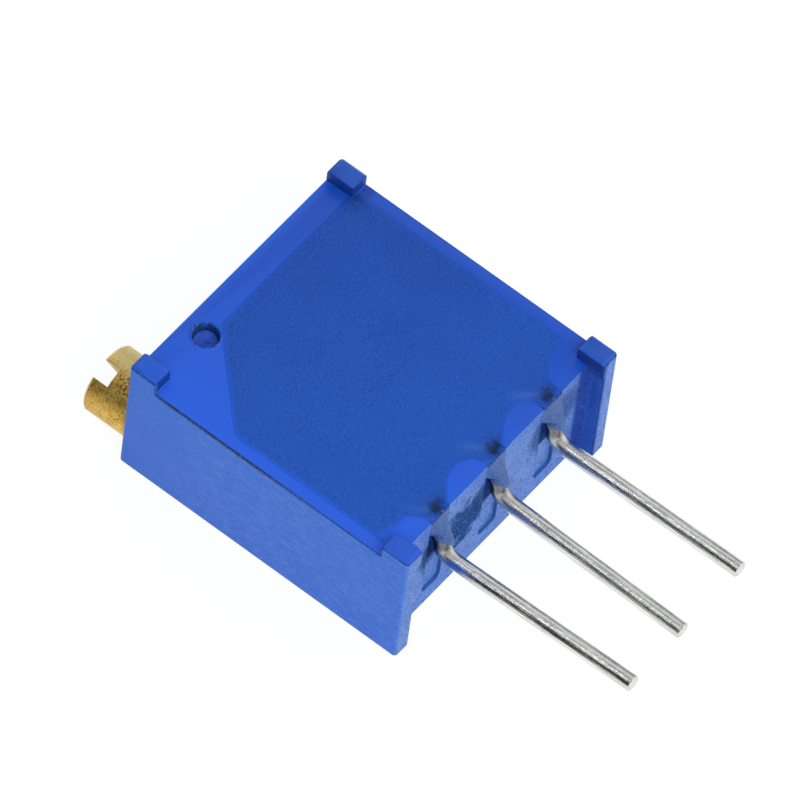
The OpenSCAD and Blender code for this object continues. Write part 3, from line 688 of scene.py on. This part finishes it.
# %% Finishes of the CAD nodes
finishes = {
    "housing": case_plastic, "potting": resin, "retaining_peg": peg_plastic, "adjusting_screw": brass,
    "screw_seal": rubber, "worm_wheel": nylon, "wiper": spring_alloy, "ceramic_plate": alumina,
    "resistive_track": cermet, "track_end_1": silver_print, "track_end_3": silver_print,
    "collector": silver_print,
}
for n in PINS:
    finishes |= {f"back_land_{n}": silver_print, f"pin_{n}": tin, f"solder_{n}": solder}
for node, material in finishes.items():
    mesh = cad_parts[node].data
    mesh.materials.clear()
    mesh.materials.append(material)
print("finished", len(finishes), "nodes")

# %% [markdown]
# ## Moulded edges
#
# A moulding has no knife edges: the mould's own corners leave a radius of a few hundredths of a
# millimetre. It catches the light, and it is also where dirt and knocks show first. The case is
# therefore a copy of the CAD node whose loose triangles are merged into whole faces, with a Bevel
# modifier on its sharp edges, and the bevel's narrow faces take the worn finish.

# %% Case with rounded edges
def merged_copy(node, name, materials, sharp_angle):
    """A copy of a CAD node with its triangles merged into whole faces."""
    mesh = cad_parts[node].data.copy()
    work = bmesh.new()
    work.from_mesh(mesh)
    bmesh.ops.remove_doubles(work, verts=work.verts, dist=1e-7)
    bmesh.ops.dissolve_limit(work, angle_limit=math.radians(0.5), verts=work.verts, edges=work.edges)
    work.to_mesh(mesh)
    work.free()
    mesh.materials.clear()
    for material in materials:
        mesh.materials.append(material)
    shade_smooth(mesh, sharp_angle)
    return add_object(name, mesh)


def round_edges(piece, radius, angle, material_index):
    """A live bevel in millimetres on every edge sharper than an angle in degrees."""
    edges = piece.modifiers.new("rounded_edges", "BEVEL")
    edges.width = radius * MM
    edges.segments = 3
    edges.limit_method = "ANGLE"
    edges.angle_limit = math.radians(angle)
    edges.use_clamp_overlap = False
    edges.harden_normals = True
    edges.material = material_index


case = merged_copy("housing", "moulded_case", [case_plastic, worn_edge], 40)
round_edges(case, EDGE_RADIUS, 35, 1)
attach(case, "case")
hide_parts("housing")
print("case with", len(case.data.polygons), "faces before its edges are rounded")

# %% [markdown]
# ## The resin's outline
#
# The resin fills the pocket and creeps a little over the rim. On the pin side it runs out through
# three notches, and the land between two notches keeps a bare, lens-shaped strip of rim. All this is
# one function of a place: how far inside the outline it is. A soft minimum of the distances to the
# outline's sides rounds the corners, and a little noise makes the edge waver as a real flow does.

# %% Outline of the resin
# CREEP is how far the resin goes past the pocket, and PIN_CREEP at least how far on the pin side.
# CORNER_CUT is the cut corner's length along each side, and HOLE_GAP the bare ring round the peg. A
# high SHARPNESS rounds the corners tightly. THIN_EDGE is where the resin thins out on the pin side.
CREEP = 0.15
PIN_CREEP = 0.07
CORNER_CUT = 2.6
HOLE_GAP = 0.04
SHARPNESS = 24
THIN_EDGE = {
    "x": [-4.6, -4.37, -4.17, -3.67, -3.25, -2.99, -2.95, -2.13, -1.9, -1.6, -1.25, -0.8, -0.46, -0.41,
          0.41, 0.64, 0.95, 1.3, 1.8, 2.06, 2.13, 2.95, 3.0, 3.32, 3.75, 4.18, 4.44, 4.6],
    "y": [-4.0, -3.88, -3.65, -3.82, -3.93, -4.2, -4.44, -4.44, -4.28, -4.06, -3.9, -3.92, -4.13, -4.44,
          -4.44, -4.27, -4.06, -3.9, -3.92, -4.13, -4.44, -4.44, -4.05, -3.74, -3.61, -3.59, -3.28,
          -3.1],
}
corner_line = pocket_hi[1] - pocket_lo[0] - CORNER_CUT


def flow_noise(x, y, cell, seed):
    """The resin's unevenness: soft_noise, with its lattice counted from well outside the part."""
    return soft_noise(x + 20, y + 20, cell, seed)


def pin_side(x):
    """Y of the thick resin's edge on the pin side: straight lines between the places above, blurred."""
    shifts = np.linspace(-0.04, 0.04, 5)
    return np.mean([np.interp(x + s, THIN_EDGE["x"], THIN_EDGE["y"]) for s in shifts], axis=0)


def inside_resin(x, y):
    """Distance inside the outline: -log(sum(exp(-SHARPNESS d))) / SHARPNESS over the distances d to the
    five sides and to the peg's hole, and a small noise."""
    cut = (corner_line + CREEP * math.sqrt(2) + x - y) / math.sqrt(2)
    hole = np.hypot(x - peg_x, y - peg_y) - peg_r - HOLE_GAP
    sides = np.stack([pocket_hi[0] + CREEP - x, x - pocket_lo[0] + CREEP, pocket_hi[1] + CREEP - y,
                      cut, hole, y - np.minimum(pin_side(x), pocket_lo[1] - PIN_CREEP)])
    waver = 0.012 * flow_noise(x, y, 0.35, 5) + 0.008 * flow_noise(x, y, 0.12, 6)
    return -np.log(np.exp(-SHARPNESS * sides).sum(axis=0)) / SHARPNESS + waver


def outline_radius(angle):
    """Radius of the outline in each direction: the first at which the inside distance falls to zero."""
    radii = np.linspace(2.5, 7.0, 900)
    x, y = radii[:, None] * np.cos(angle), radii[:, None] * np.sin(angle)
    within = inside_resin(x, y)
    last = np.argmax(within <= 0, axis=0)
    column = np.arange(len(angle))
    before, after = within[last - 1, column], within[last, column]
    return radii[last - 1] + (radii[last] - radii[last - 1]) * before / (before - after)


angle = full_turn(8)
print("outline radius in eight directions:", outline_radius(angle).round(2))

# %% [markdown]
# ## The resin's surface
#
# The surface is a polar grid: rings from the middle to the outline, closer together near the edge.
# The height starts as a feather edge on the rim and rises to a thin film. As it cured, the resin sank
# a little in the middle, drew down towards the notches, and left a pit behind each of them. The grid
# goes on under the edge and down the pocket's wall to the ceramic plate, so that the piece is closed.

# %% Height of the resin
# PITS are places. A depth and a width belong to the funnel in each notch, and to the pit behind it.
PITS = [(-2.42, -4.2), (0.2, -4.18), (2.61, -4.2)]
FEATHER, SINK, RIPPLE = 0.006, 0.03, 0.007
FUNNEL_DEPTH, FUNNEL_WIDTH = 0.07, 0.42
PIT_DEPTH, PIT_WIDTH = 0.1, 0.17


def resin_height(x, y, depth):
    """Height of the resin: rim + film, less the sink in the middle, the three funnels and the three
    pits. Over the rim beside the notches it never falls below the rim."""
    height = rim_z - FEATHER + (FILM + FEATHER) * smoothstep(depth / 0.12)
    height -= SINK * smoothstep((depth - 0.15) / 1.2)
    height += RIPPLE * flow_noise(x, y, 1.1, 7) * smoothstep(depth / 0.5)
    for n, (pit_x, pit_y) in zip(PINS, PITS):
        height -= FUNNEL_DEPTH * hill(np.hypot(x - pin_x[n], 0.8 * (y - wall_y)), FUNNEL_WIDTH)
        ragged = 1 + 0.35 * flow_noise(x, y, 0.12, 8 + n)
        height -= PIT_DEPTH * hill(np.hypot((x - pit_x) / 1.2, y - pit_y) * ragged, PIT_WIDTH)
    notches = np.min([np.abs(x - middle) for middle in pin_x.values()], axis=0)
    on_rim = smoothstep((notches - 0.34) / 0.06) * smoothstep((pocket_lo[1] - y) / 0.06)
    lowest = rim_z - FEATHER + 2 * FEATHER * smoothstep(depth / 0.06)
    return np.maximum(height, lowest - 0.5 * (1 - on_rim))


middle = float(resin_height(np.zeros(1), np.zeros(1), np.full(1, 4.0))[0])
print("the middle of the resin lies", round(rim_z - middle, 3), "mm below the rim")

# %% Marks on the resin
SMEAR_LEANS, SMEAR_REACHES = (0.1, -0.15, 0.0), (1.0, 1.3, 1.4)


def smears(x, y):
    """Dusty streaks that lead away from each pit: a bell across the streak's direction, which rises and
    then fades along it."""
    total = np.zeros_like(x)
    for (pit_x, pit_y), lean, reach in zip(PITS, SMEAR_LEANS, SMEAR_REACHES):
        heading = math.radians(135) + lean
        along = (x - pit_x) * math.cos(heading) + (y - pit_y) * math.sin(heading)
        across = (y - pit_y) * math.cos(heading) - (x - pit_x) * math.sin(heading)
        bend = 0.08 * soft_noise(along + 9, pit_x + 9 + 0 * along, 0.5, 70)
        streak = 0.6 * hill(across + bend, 0.08 + 0.08 * along.clip(0))
        total += streak * smoothstep((along - 0.12) / 0.2) * smoothstep((reach - along) / 0.8)
    return total


def store_resin_marks(piece, x, y):
    """Stores where the resin covers the case, where it is painted in shade (in and round the pits, and
    at the pocket's corner by the far nub), and where it is smeared.
    """
    in_notch = sum(hill(x - middle, FUNNEL_WIDTH) for middle in pin_x.values())
    in_notch = in_notch * smoothstep((wall_y + 0.75 - y) / 0.4)
    thick = np.minimum(inside_resin(x, y), y - pin_side(x)) / 0.26
    set_attribute(piece, "cover", "FLOAT", np.maximum(smoothstep(thick), np.minimum(in_notch, 1)))
    blotch = 1 + 0.5 * flow_noise(x, y, 0.09, 12)
    # Painted shade: a dark patch at the pocket's corner by the far nub, and dark in and round each pit.
    corner = np.hypot((x - pocket_hi[0] + 0.05) / 1.5, y - pocket_hi[1] + 0.1)
    pit = 0.6 * hill(corner * blotch, 0.24)
    distances = [np.hypot((x - pit_x) / 1.15, y - pit_y) for pit_x, pit_y in PITS]
    pit = pit + sum(0.8 * hill(d * blotch, PIT_WIDTH) + 0.35 * hill(d, 0.36) for d in distances)
    set_attribute(piece, "pit", "FLOAT", pit)
    set_attribute(piece, "smear", "FLOAT", smears(x, y))


print("smears", SMEAR_REACHES, "mm long")

# %% Cast resin
AROUND, OUTWARD = 1000, 62
SKIRT = 0.3
WALL_GAP = 0.02


def cast_resin():
    """Rings at shares of the outline's radius, then rings that go down the pocket's wall and inwards."""
    angle = full_turn(AROUND)
    radius = outline_radius(angle)
    share = 1 - (1 - np.linspace(0.002, 1, OUTWARD)) ** 1.8
    x, y = share[:, None] * radius * np.cos(angle), share[:, None] * radius * np.sin(angle)
    depth = np.maximum(inside_resin(x, y), 0)
    depth[-1] = 0
    top = np.stack([x, y, resin_height(x, y, depth)], axis=-1)
    skirt = np.stack([x[-1], y[-1], top[-1, :, 2] - SKIRT], axis=-1)
    foot_x = np.clip(x[-1], pocket_lo[0] + WALL_GAP, pocket_hi[0] - WALL_GAP)
    foot_y = np.clip(y[-1], pocket_lo[1] + WALL_GAP, pocket_hi[1] - WALL_GAP)
    beyond = np.maximum(0, foot_y - foot_x - corner_line + 0.03) / 2
    foot_x, foot_y = foot_x + beyond, foot_y - beyond
    levels = ((1, rim_z - SKIRT - 0.05), (1, plate_hi[2]), (0.5, plate_hi[2]), (0.002, plate_hi[2]))
    down = [np.stack([foot_x * k, foot_y * k, np.full_like(foot_x, z)], axis=-1) for k, z in levels]
    rings = np.stack([*top, skirt, *down])
    piece = ring_piece("cast_resin", rings, resin)
    store_resin_marks(piece, *with_middles(rings).T[:2])
    return piece


top_resin = cast_resin()
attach(top_resin, "case")
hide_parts("potting")
print("cast resin with", len(top_resin.data.polygons), "faces")

# %% [markdown]
# ## Resin in the notches
#
# In each notch the resin runs down over the wire's bend and wets it like a sleeve, ending in a rounded
# lip. Its front is worked out as a depth in front of the wall, for each place across and each height:
# the soft maximum of a sleeve round the bent wire and of a brow below the rim. Beside the wire the
# notch stays open from below, under an arched roof.

# %% Front of a notch filling
SLEEVE = 0.06
ROOF_Z, ROOF_SLANT = 3.5, 0.25 / 0.4
BEHIND_WALL = 0.012
UNDER_ROOF = 0.3


def sleeve_depth(x, z):
    """How far the sleeve round the wire stands out of the wall: on the upright, UPRIGHT_OUT + the chord
    of a circle, and above it the outside of a ring torus that follows the first bend."""
    chord = np.sqrt(np.maximum((pin_r + SLEEVE) ** 2 - x * x, 0))
    above = np.maximum(z - (seat_z - BEND), 0)
    bent = np.sqrt(np.maximum((BEND + chord) ** 2 - above ** 2, 0)) - BEND + UPRIGHT_OUT
    return np.where(np.abs(x) < pin_r + SLEEVE, bent, -0.5)


def notch_front(n, x, z, half):
    """Depth of the filling in front of the wall: the soft maximum of the sleeve and of a brow that
    swells below the rim, over a base that lies just behind the wall and deeper under the roof."""
    roof = smoothstep((ROOF_Z - ROOF_SLANT * x - z) / 0.15)
    swell = 0.05 + 0.34 * smoothstep((rim_z - 0.15 - z) / 0.8)
    brow = swell * np.clip(1 - (x / half) ** 2, 0, 1) ** 1.2 - 0.02
    shifted = x + 9 * n
    ragged = 0.014 * soft_noise(shifted, z, 0.22, 20 + n) + 0.008 * soft_noise(shifted, z, 0.08, 30 + n)
    front = soft_max(sleeve_depth(x, z), brow * (1 - roof) - UNDER_ROOF * roof, 0.03) + ragged
    return np.maximum(front, -BEHIND_WALL - UNDER_ROOF * roof)


sample = sleeve_depth(np.zeros(1), np.full(1, 3.0))[0]
print("the sleeve stands", round(float(sample), 3), "mm out of the wall on the upright")

# %% Notch fillings
LIP, LIP_SLANT = 0.07, 0.9
BACK_HALF, DEEP_BELOW = 0.385, 3.98


def notch_filling(n, brow_half, bottom):
    """Rings from the rim down to the lip, each a front across and a back. High up a ring is the notch's
    filling, low down it is a circle round the wire, and it turns from one into the other between."""
    lip_top = bottom + LIP
    lip_z = lip_top - LIP * np.sin(np.linspace(0.1, 1, 8) * np.pi / 2)
    z = np.concatenate([np.linspace(rim_z - 0.095, bottom + 0.25, 34),
                        np.linspace(bottom + 0.23, lip_top, 8), lip_z])[:, None]
    across = np.cos(np.linspace(np.pi, 0, 81))[None, :]
    back = np.cos(np.linspace(0, np.pi, 33))[None, 1:-1]
    half = np.full_like(z, brow_half)
    deep = 0.08 + 0.44 * smoothstep((DEEP_BELOW - z) / 0.12)
    open_x = np.concatenate([half * across, BACK_HALF * back * np.ones_like(z)], axis=1)
    open_q = np.concatenate([notch_front(n, half * across, z, half), -deep * (1 - back ** 8)], axis=1)
    lip = np.sqrt(1 - np.clip((lip_top - z) / LIP, 0, 1) ** 2)
    r = pin_r - 0.02 + (SLEEVE + 0.02) * lip
    round_x = np.concatenate([r * across, r * back], axis=1)
    round_q = np.concatenate([r * np.sqrt(1 - across ** 2), -r * np.sqrt(1 - back ** 2)], axis=1)
    round_q = UPRIGHT_OUT + round_q
    closing = smoothstep((bottom + 0.45 - z) / 0.3)
    x, q = open_x + (round_x - open_x) * closing, open_q + (round_q - open_q) * closing
    rings = np.stack([pin_x[n] + x, wall_y - q, z - LIP_SLANT * closing * x], axis=-1)
    piece = ring_piece(f"notch_resin_{n}", rings, dust_and_sheen_run, 60)
    set_attribute(piece, "cover", "FLOAT", np.ones(len(piece.data.vertices)))
    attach(piece, "case")
    return piece


for n, brow_half, bottom in ((1, 0.42, 3.22), (2, 0.46, 3.24), (3, 0.6, 3.24)):
    print(notch_filling(n, brow_half, bottom).name, "with its lip at", bottom, "mm")

# %% [markdown]
# ## The wires
#
# Each wire is a circle carried along a bent path: out of the resin, down the front of the wall, and
# out again at a slightly different angle for each pin, as they were bent by hand. Drawing and tinning
# leave it not quite round, and cutters leave a slightly flared, rounded end.

# %% Paths of the wires
def wire_path(n):
    """Middle line of a wire in the Y-Z plane: straight, a quarter circle down, straight, a bend out
    whose curvature falls steadily to nothing (an Euler spiral, whose angle grows as
    1 - (1 - share)^2), and straight to the cut end. Gives y, z, the turn of the line, and the length
    at the first bend's end."""
    rise = math.radians(PIN_RISE[n])
    axis_y = drop_y - BEND * (1 + math.sin(rise))
    axis_z = (case_lo[2] + case_hi[2]) / 2 + PIN_LIFT[n] + BEND * (1 - math.cos(rise))
    tip_y = pin_boxes[n][0][1] + pin_r * abs(math.sin(rise))
    inside = np.linspace(float(pin_boxes[n][1][1]), drop_y + BEND, 12)[:-1]
    first = np.linspace(0, math.pi / 2, 24)

    second = (math.pi / 2 + rise) * (1 - (1 - np.linspace(0, 1, 40)) ** 2)
    step, heading = SPIRAL / (len(second) - 1), (second[1:] + second[:-1]) / 2
    over, down = [np.append(0, np.cumsum(step * wave(heading))) for wave in (np.sin, np.cos)]
    out_y = drop_y - over[-1]
    out_z = axis_z + (axis_y - out_y) * math.tan(rise)

    from_tip = np.concatenate([np.linspace(0, 0.05, 7)[:-1], np.linspace(0.05, 6.4, 150)])[::-1]
    run = (out_y - tip_y) / math.cos(rise) - from_tip
    run = run[run > 0.01]
    y = np.concatenate([inside, drop_y + BEND - BEND * np.sin(first), drop_y - over,
                        out_y - run * math.cos(rise)])
    z = np.concatenate([np.full(len(inside), seat_z), seat_z - BEND + BEND * np.cos(first),
                        out_z + down[-1] - down, out_z + run * math.sin(rise)])
    turn = np.concatenate([0 * inside, first, math.pi / 2 - second, np.full(len(run), -rise)])
    return y, z, turn, inside[0] - drop_y - BEND + BEND * math.pi / 2


print("points along the first wire:", len(wire_path(1)[0]))


# %% Tinned wires
def tinned_wire(n):
    """Rings of radius r about the path. r carries a faint lengthwise unevenness, swells by 1 % just
    before the cut end, and closes over it in a rounded edge."""
    *path, bend_end = wire_path(n)
    y, z, turn = [values[:, None] for values in path]
    phi = full_turn(48)[None, :]
    steps = np.hypot(np.diff(y, axis=0), np.diff(z, axis=0))
    length = np.concatenate([[[0]], np.cumsum(steps, axis=0)])
    from_tip = length[-1] - length
    r = 0.985 + 0.012 * soft_noise(phi * 2.2 + 7 * n, length, 1.1, 40 + n)
    r = r + 0.006 * soft_noise(phi * 6, length, 0.35, 50 + n) + 0.012 * hill(from_tip, 0.12)
    r = pin_r * r * np.sqrt(1 - np.clip((0.045 - from_tip) / 0.05, 0, 0.95) ** 2)
    side, up = r * np.cos(phi), r * np.sin(phi)
    rings = np.stack([pin_x[n] + side, y - up * np.sin(turn), z + up * np.cos(turn)], axis=-1)
    piece = ring_piece(f"tinned_wire_{n}", rings, tin)
    own = np.stack([side, up, length - bend_end + 0 * side], axis=-1)
    set_attribute(piece, "wire_place", "FLOAT_VECTOR", with_middles(own))
    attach(piece, "case")
    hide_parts(f"pin_{n}")
    return piece


for n in PINS:
    wire = tinned_wire(n)
    print(wire.name, "with", len(wire.data.polygons), "faces")

# %% [markdown]
# ## The retaining peg
#
# A short peg keeps the screw in. It was pressed into its hole from this side, which dished its top and
# raised a ragged ring of plastic round the hole. Both are surfaces of revolution: a profile turned
# about the peg's axis, with a noise that depends on the angle to make them uneven.

# %% Peg
# PEG_PROFILE gives radii, and heights over the peg's top. Its first UNEVEN_ROWS points are rough.
PEG_PROUD = 0.06
PEG_EDGE, PEG_MIDDLE = 0.375, 0.004
PEG_PROFILE = np.array([(PEG_MIDDLE, -0.075), (0.08, -0.07), (0.16, -0.055), (0.24, -0.03), (0.31, 0.0),
                        (0.35, 0.012), (0.372, 0.0), (PEG_EDGE, -0.03)])
UNEVEN_ROWS = 7


def pressed_peg():
    """A surface of revolution through the profile of the dished top, the peg's wall and its foot."""
    angle = full_turn(96)[None, :]
    radius = np.append(PEG_PROFILE[:, 0], [PEG_EDGE, PEG_MIDDLE])[:, None]
    height = np.append(peg_hi[2] + PEG_PROUD + PEG_PROFILE[:, 1], [peg_lo[2], peg_lo[2]])[:, None]
    row = np.arange(len(height))[:, None]
    height = height + 0.012 * soft_noise(angle * 3, row * 0.6, 1.0, 60) * (row < UNEVEN_ROWS)
    rings = np.stack([peg_x + radius * np.cos(angle), peg_y + radius * np.sin(angle), height], axis=-1)
    return ring_piece("pressed_peg", rings, peg_plastic)


peg = pressed_peg()
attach(peg, "case")
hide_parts("retaining_peg")
print("peg of radius", round(float(peg_r), 3), "with its CAD top at", round(float(peg_hi[2]), 3))


# %% Raised ring
def raised_ring():
    """A ring torus round the hole, flattened, whose width and height vary with the angle."""
    around, section = full_turn(120)[:, None], full_turn(16)[None, :]
    half_width = 0.055 + 0.015 * soft_noise(around * 3, 0 * around, 1.0, 61)
    uneven = 0.6 + 0.4 * soft_noise(around * 7, 2 + np.cos(section), 1.0, 62)
    radius = peg_r + 0.015 + half_width * (1 + np.cos(section))
    height = rim_z - 0.012 + 0.045 * np.sin(section) * uneven
    rings = np.stack([peg_x + radius * np.cos(around), peg_y + radius * np.sin(around), height], axis=-1)
    return ring_piece("raised_ring", rings, case_plastic, 80, joined=True)


ring = raised_ring()
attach(ring, "case")
print("ring with", len(ring.data.polygons), "faces")

# %% [markdown]
# ## Floor, light and camera
#
# The part lies on a plain white sheet under soft studio light: a large lamp overhead, a pale room all
# round, and a darker side of the room, which gives the round wires their dark streak. The sheet is
# lit like any paper for the light it throws back, but what looks at it straight or by reflection sees
# it as clean white with only a faint shadow.

# %% Floor
HALF_FLOOR, FLOOR_GAP = 2.0, 0.01 * MM
signs = ((-1, -1), (1, -1), (1, 1), (-1, 1))
corners = [(x * HALF_FLOOR, y * HALF_FLOOR, -FLOOR_GAP) for x, y in signs]
floor_mesh = bpy.data.meshes.new("floor")
floor_mesh.from_pydata(corners, [], [(0, 1, 2, 3)])
floor = add_object("floor", floor_mesh)
print("floor of", 2 * HALF_FLOOR, "m placed", FLOOR_GAP / MM, "mm below the part")

# %% White sheet
SHEET_WHITE, SHEET_GLOW = (0.85, 0.85, 0.85), (0.9, 0.93, 0.94)
FAR_GLOW, SHADOW_TINT = (0.1, 0.1, 0.1), (0.16, 0.12, 0.11)
sheet, tree, shader = new_material("white_sheet", SHEET_WHITE, 0.9, gloss=0.0)
glow = tree.nodes.new("ShaderNodeEmission")
path = tree.nodes.new("ShaderNodeLightPath").outputs
far_side = product(remap(axes(millimetres(tree))[0], -11, -20), path["Is Glossy Ray"])
feed([glow.inputs["Color"]], blend_colors(far_side, SHEET_GLOW, FAR_GLOW))
shade = tree.nodes.new("ShaderNodeBsdfDiffuse")
feed([shade.inputs["Color"]], SHADOW_TINT)
seen = tree.nodes.new("ShaderNodeAddShader")
feed(seen.inputs, glow.outputs[0], shade.outputs[0])
looks = arith("MAXIMUM", path["Is Camera Ray"], path["Is Glossy Ray"])
looks = arith("MAXIMUM", looks, path["Is Transmission Ray"])
choice = tree.nodes.new("ShaderNodeMixShader")
feed(choice.inputs, looks, shader.outputs[0], seen.outputs[0])
feed([tree.nodes["Material Output"].inputs["Surface"]], choice.outputs[0])
floor_mesh.materials.append(sheet)
print("sheet with", len(tree.nodes), "nodes")

# %% Room
ROOM_GREY, LOW_EAST_GREY = (0.55, 0.565, 0.575), (1.05, 1.06, 1.07)
OVERHEAD_GREY, DARK_GREY, WHITE = (0.36, 0.37, 0.375), (0.025, 0.025, 0.026), (1.0, 1.0, 1.0)
room = bpy.data.worlds.new("pale_room")
bpy.context.scene.world = room
room.use_nodes = True
tree = room.node_tree
direction = tree.nodes.new("ShaderNodeTexCoord").outputs["Generated"]
east, _, up = axes(direction)
dark_side = spot(direction, (-0.92, 0.29, 0.25), (0.3, 0.9, 1.6), 0.85)
low_east = product(remap(east, 0.2, 0.5), remap(up, 0.9, 0.7))
overhead = spot(direction, (0.02, 0.29, 0.95), (1, 0.5, 1), 0.3)
grey = blend_colors(low_east, ROOM_GREY, LOW_EAST_GREY)
grey = blend_colors(overhead, grey, OVERHEAD_GREY)
grey = blend_colors(dark_side, grey, DARK_GREY)
seen_straight = tree.nodes.new("ShaderNodeLightPath").outputs["Is Camera Ray"]
background = tree.nodes["Background"]
feed([background.inputs["Color"]], blend_colors(seen_straight, grey, WHITE))
background.inputs["Strength"].default_value = 1.0
print("room with", len(tree.nodes), "nodes")


# %% Lamps
def soft_lamp(name, direction, distance, size, radiance):
    """A round lamp in a direction from the part, aimed at it. A lamp of area A and radiance L has a
    power of pi * A * L."""
    lamp = bpy.data.lights.new(name, "AREA")
    lamp.shape = "DISK"
    lamp.size = size
    area = math.pi * size * size / 4
    lamp.energy = math.pi * area * radiance
    holder = add_object(name, lamp)
    holder.location = Vector(direction).normalized() * distance
    holder.rotation_euler = (-Vector(direction)).to_track_quat("-Z", "Y").to_euler()
    return holder


key = soft_lamp("key_lamp", (-0.4, -0.55, 0.73), 0.7, 0.5, 3.1)
key.visible_glossy = False
soft_lamp("strip_lamp", (-0.37, 0.29, 0.88), 0.6, 0.13, 2.5)
print("key lamp of", round(key.data.energy, 2), "W")

# %% Camera
AZIMUTH, ELEVATION, ROLL = math.radians(-58.23), math.radians(56.43), math.radians(8.19)
DISTANCE, LENS, SENSOR = 0.478, 762, 36
aim = Vector((0.784 * MM, -0.532 * MM, 2.39 * MM))
forward = Vector((-math.sin(AZIMUTH) * math.cos(ELEVATION), math.cos(AZIMUTH) * math.cos(ELEVATION),
                  -math.sin(ELEVATION)))
camera_data = bpy.data.cameras.new("camera")
camera_data.lens = LENS
camera_data.sensor_width = SENSOR
camera_data.clip_start = 0.01
camera = add_object("camera", camera_data)
turn = forward.to_track_quat("-Z", "Y").to_matrix() @ Matrix.Rotation(ROLL, 3, "Z")
camera.matrix_world = Matrix.Translation(aim - DISTANCE * forward) @ turn.to_4x4()
bpy.context.scene.camera = camera
bpy.context.scene.view_settings.view_transform = "Standard"
print("camera at", [round(v, 3) for v in camera.matrix_world.translation])
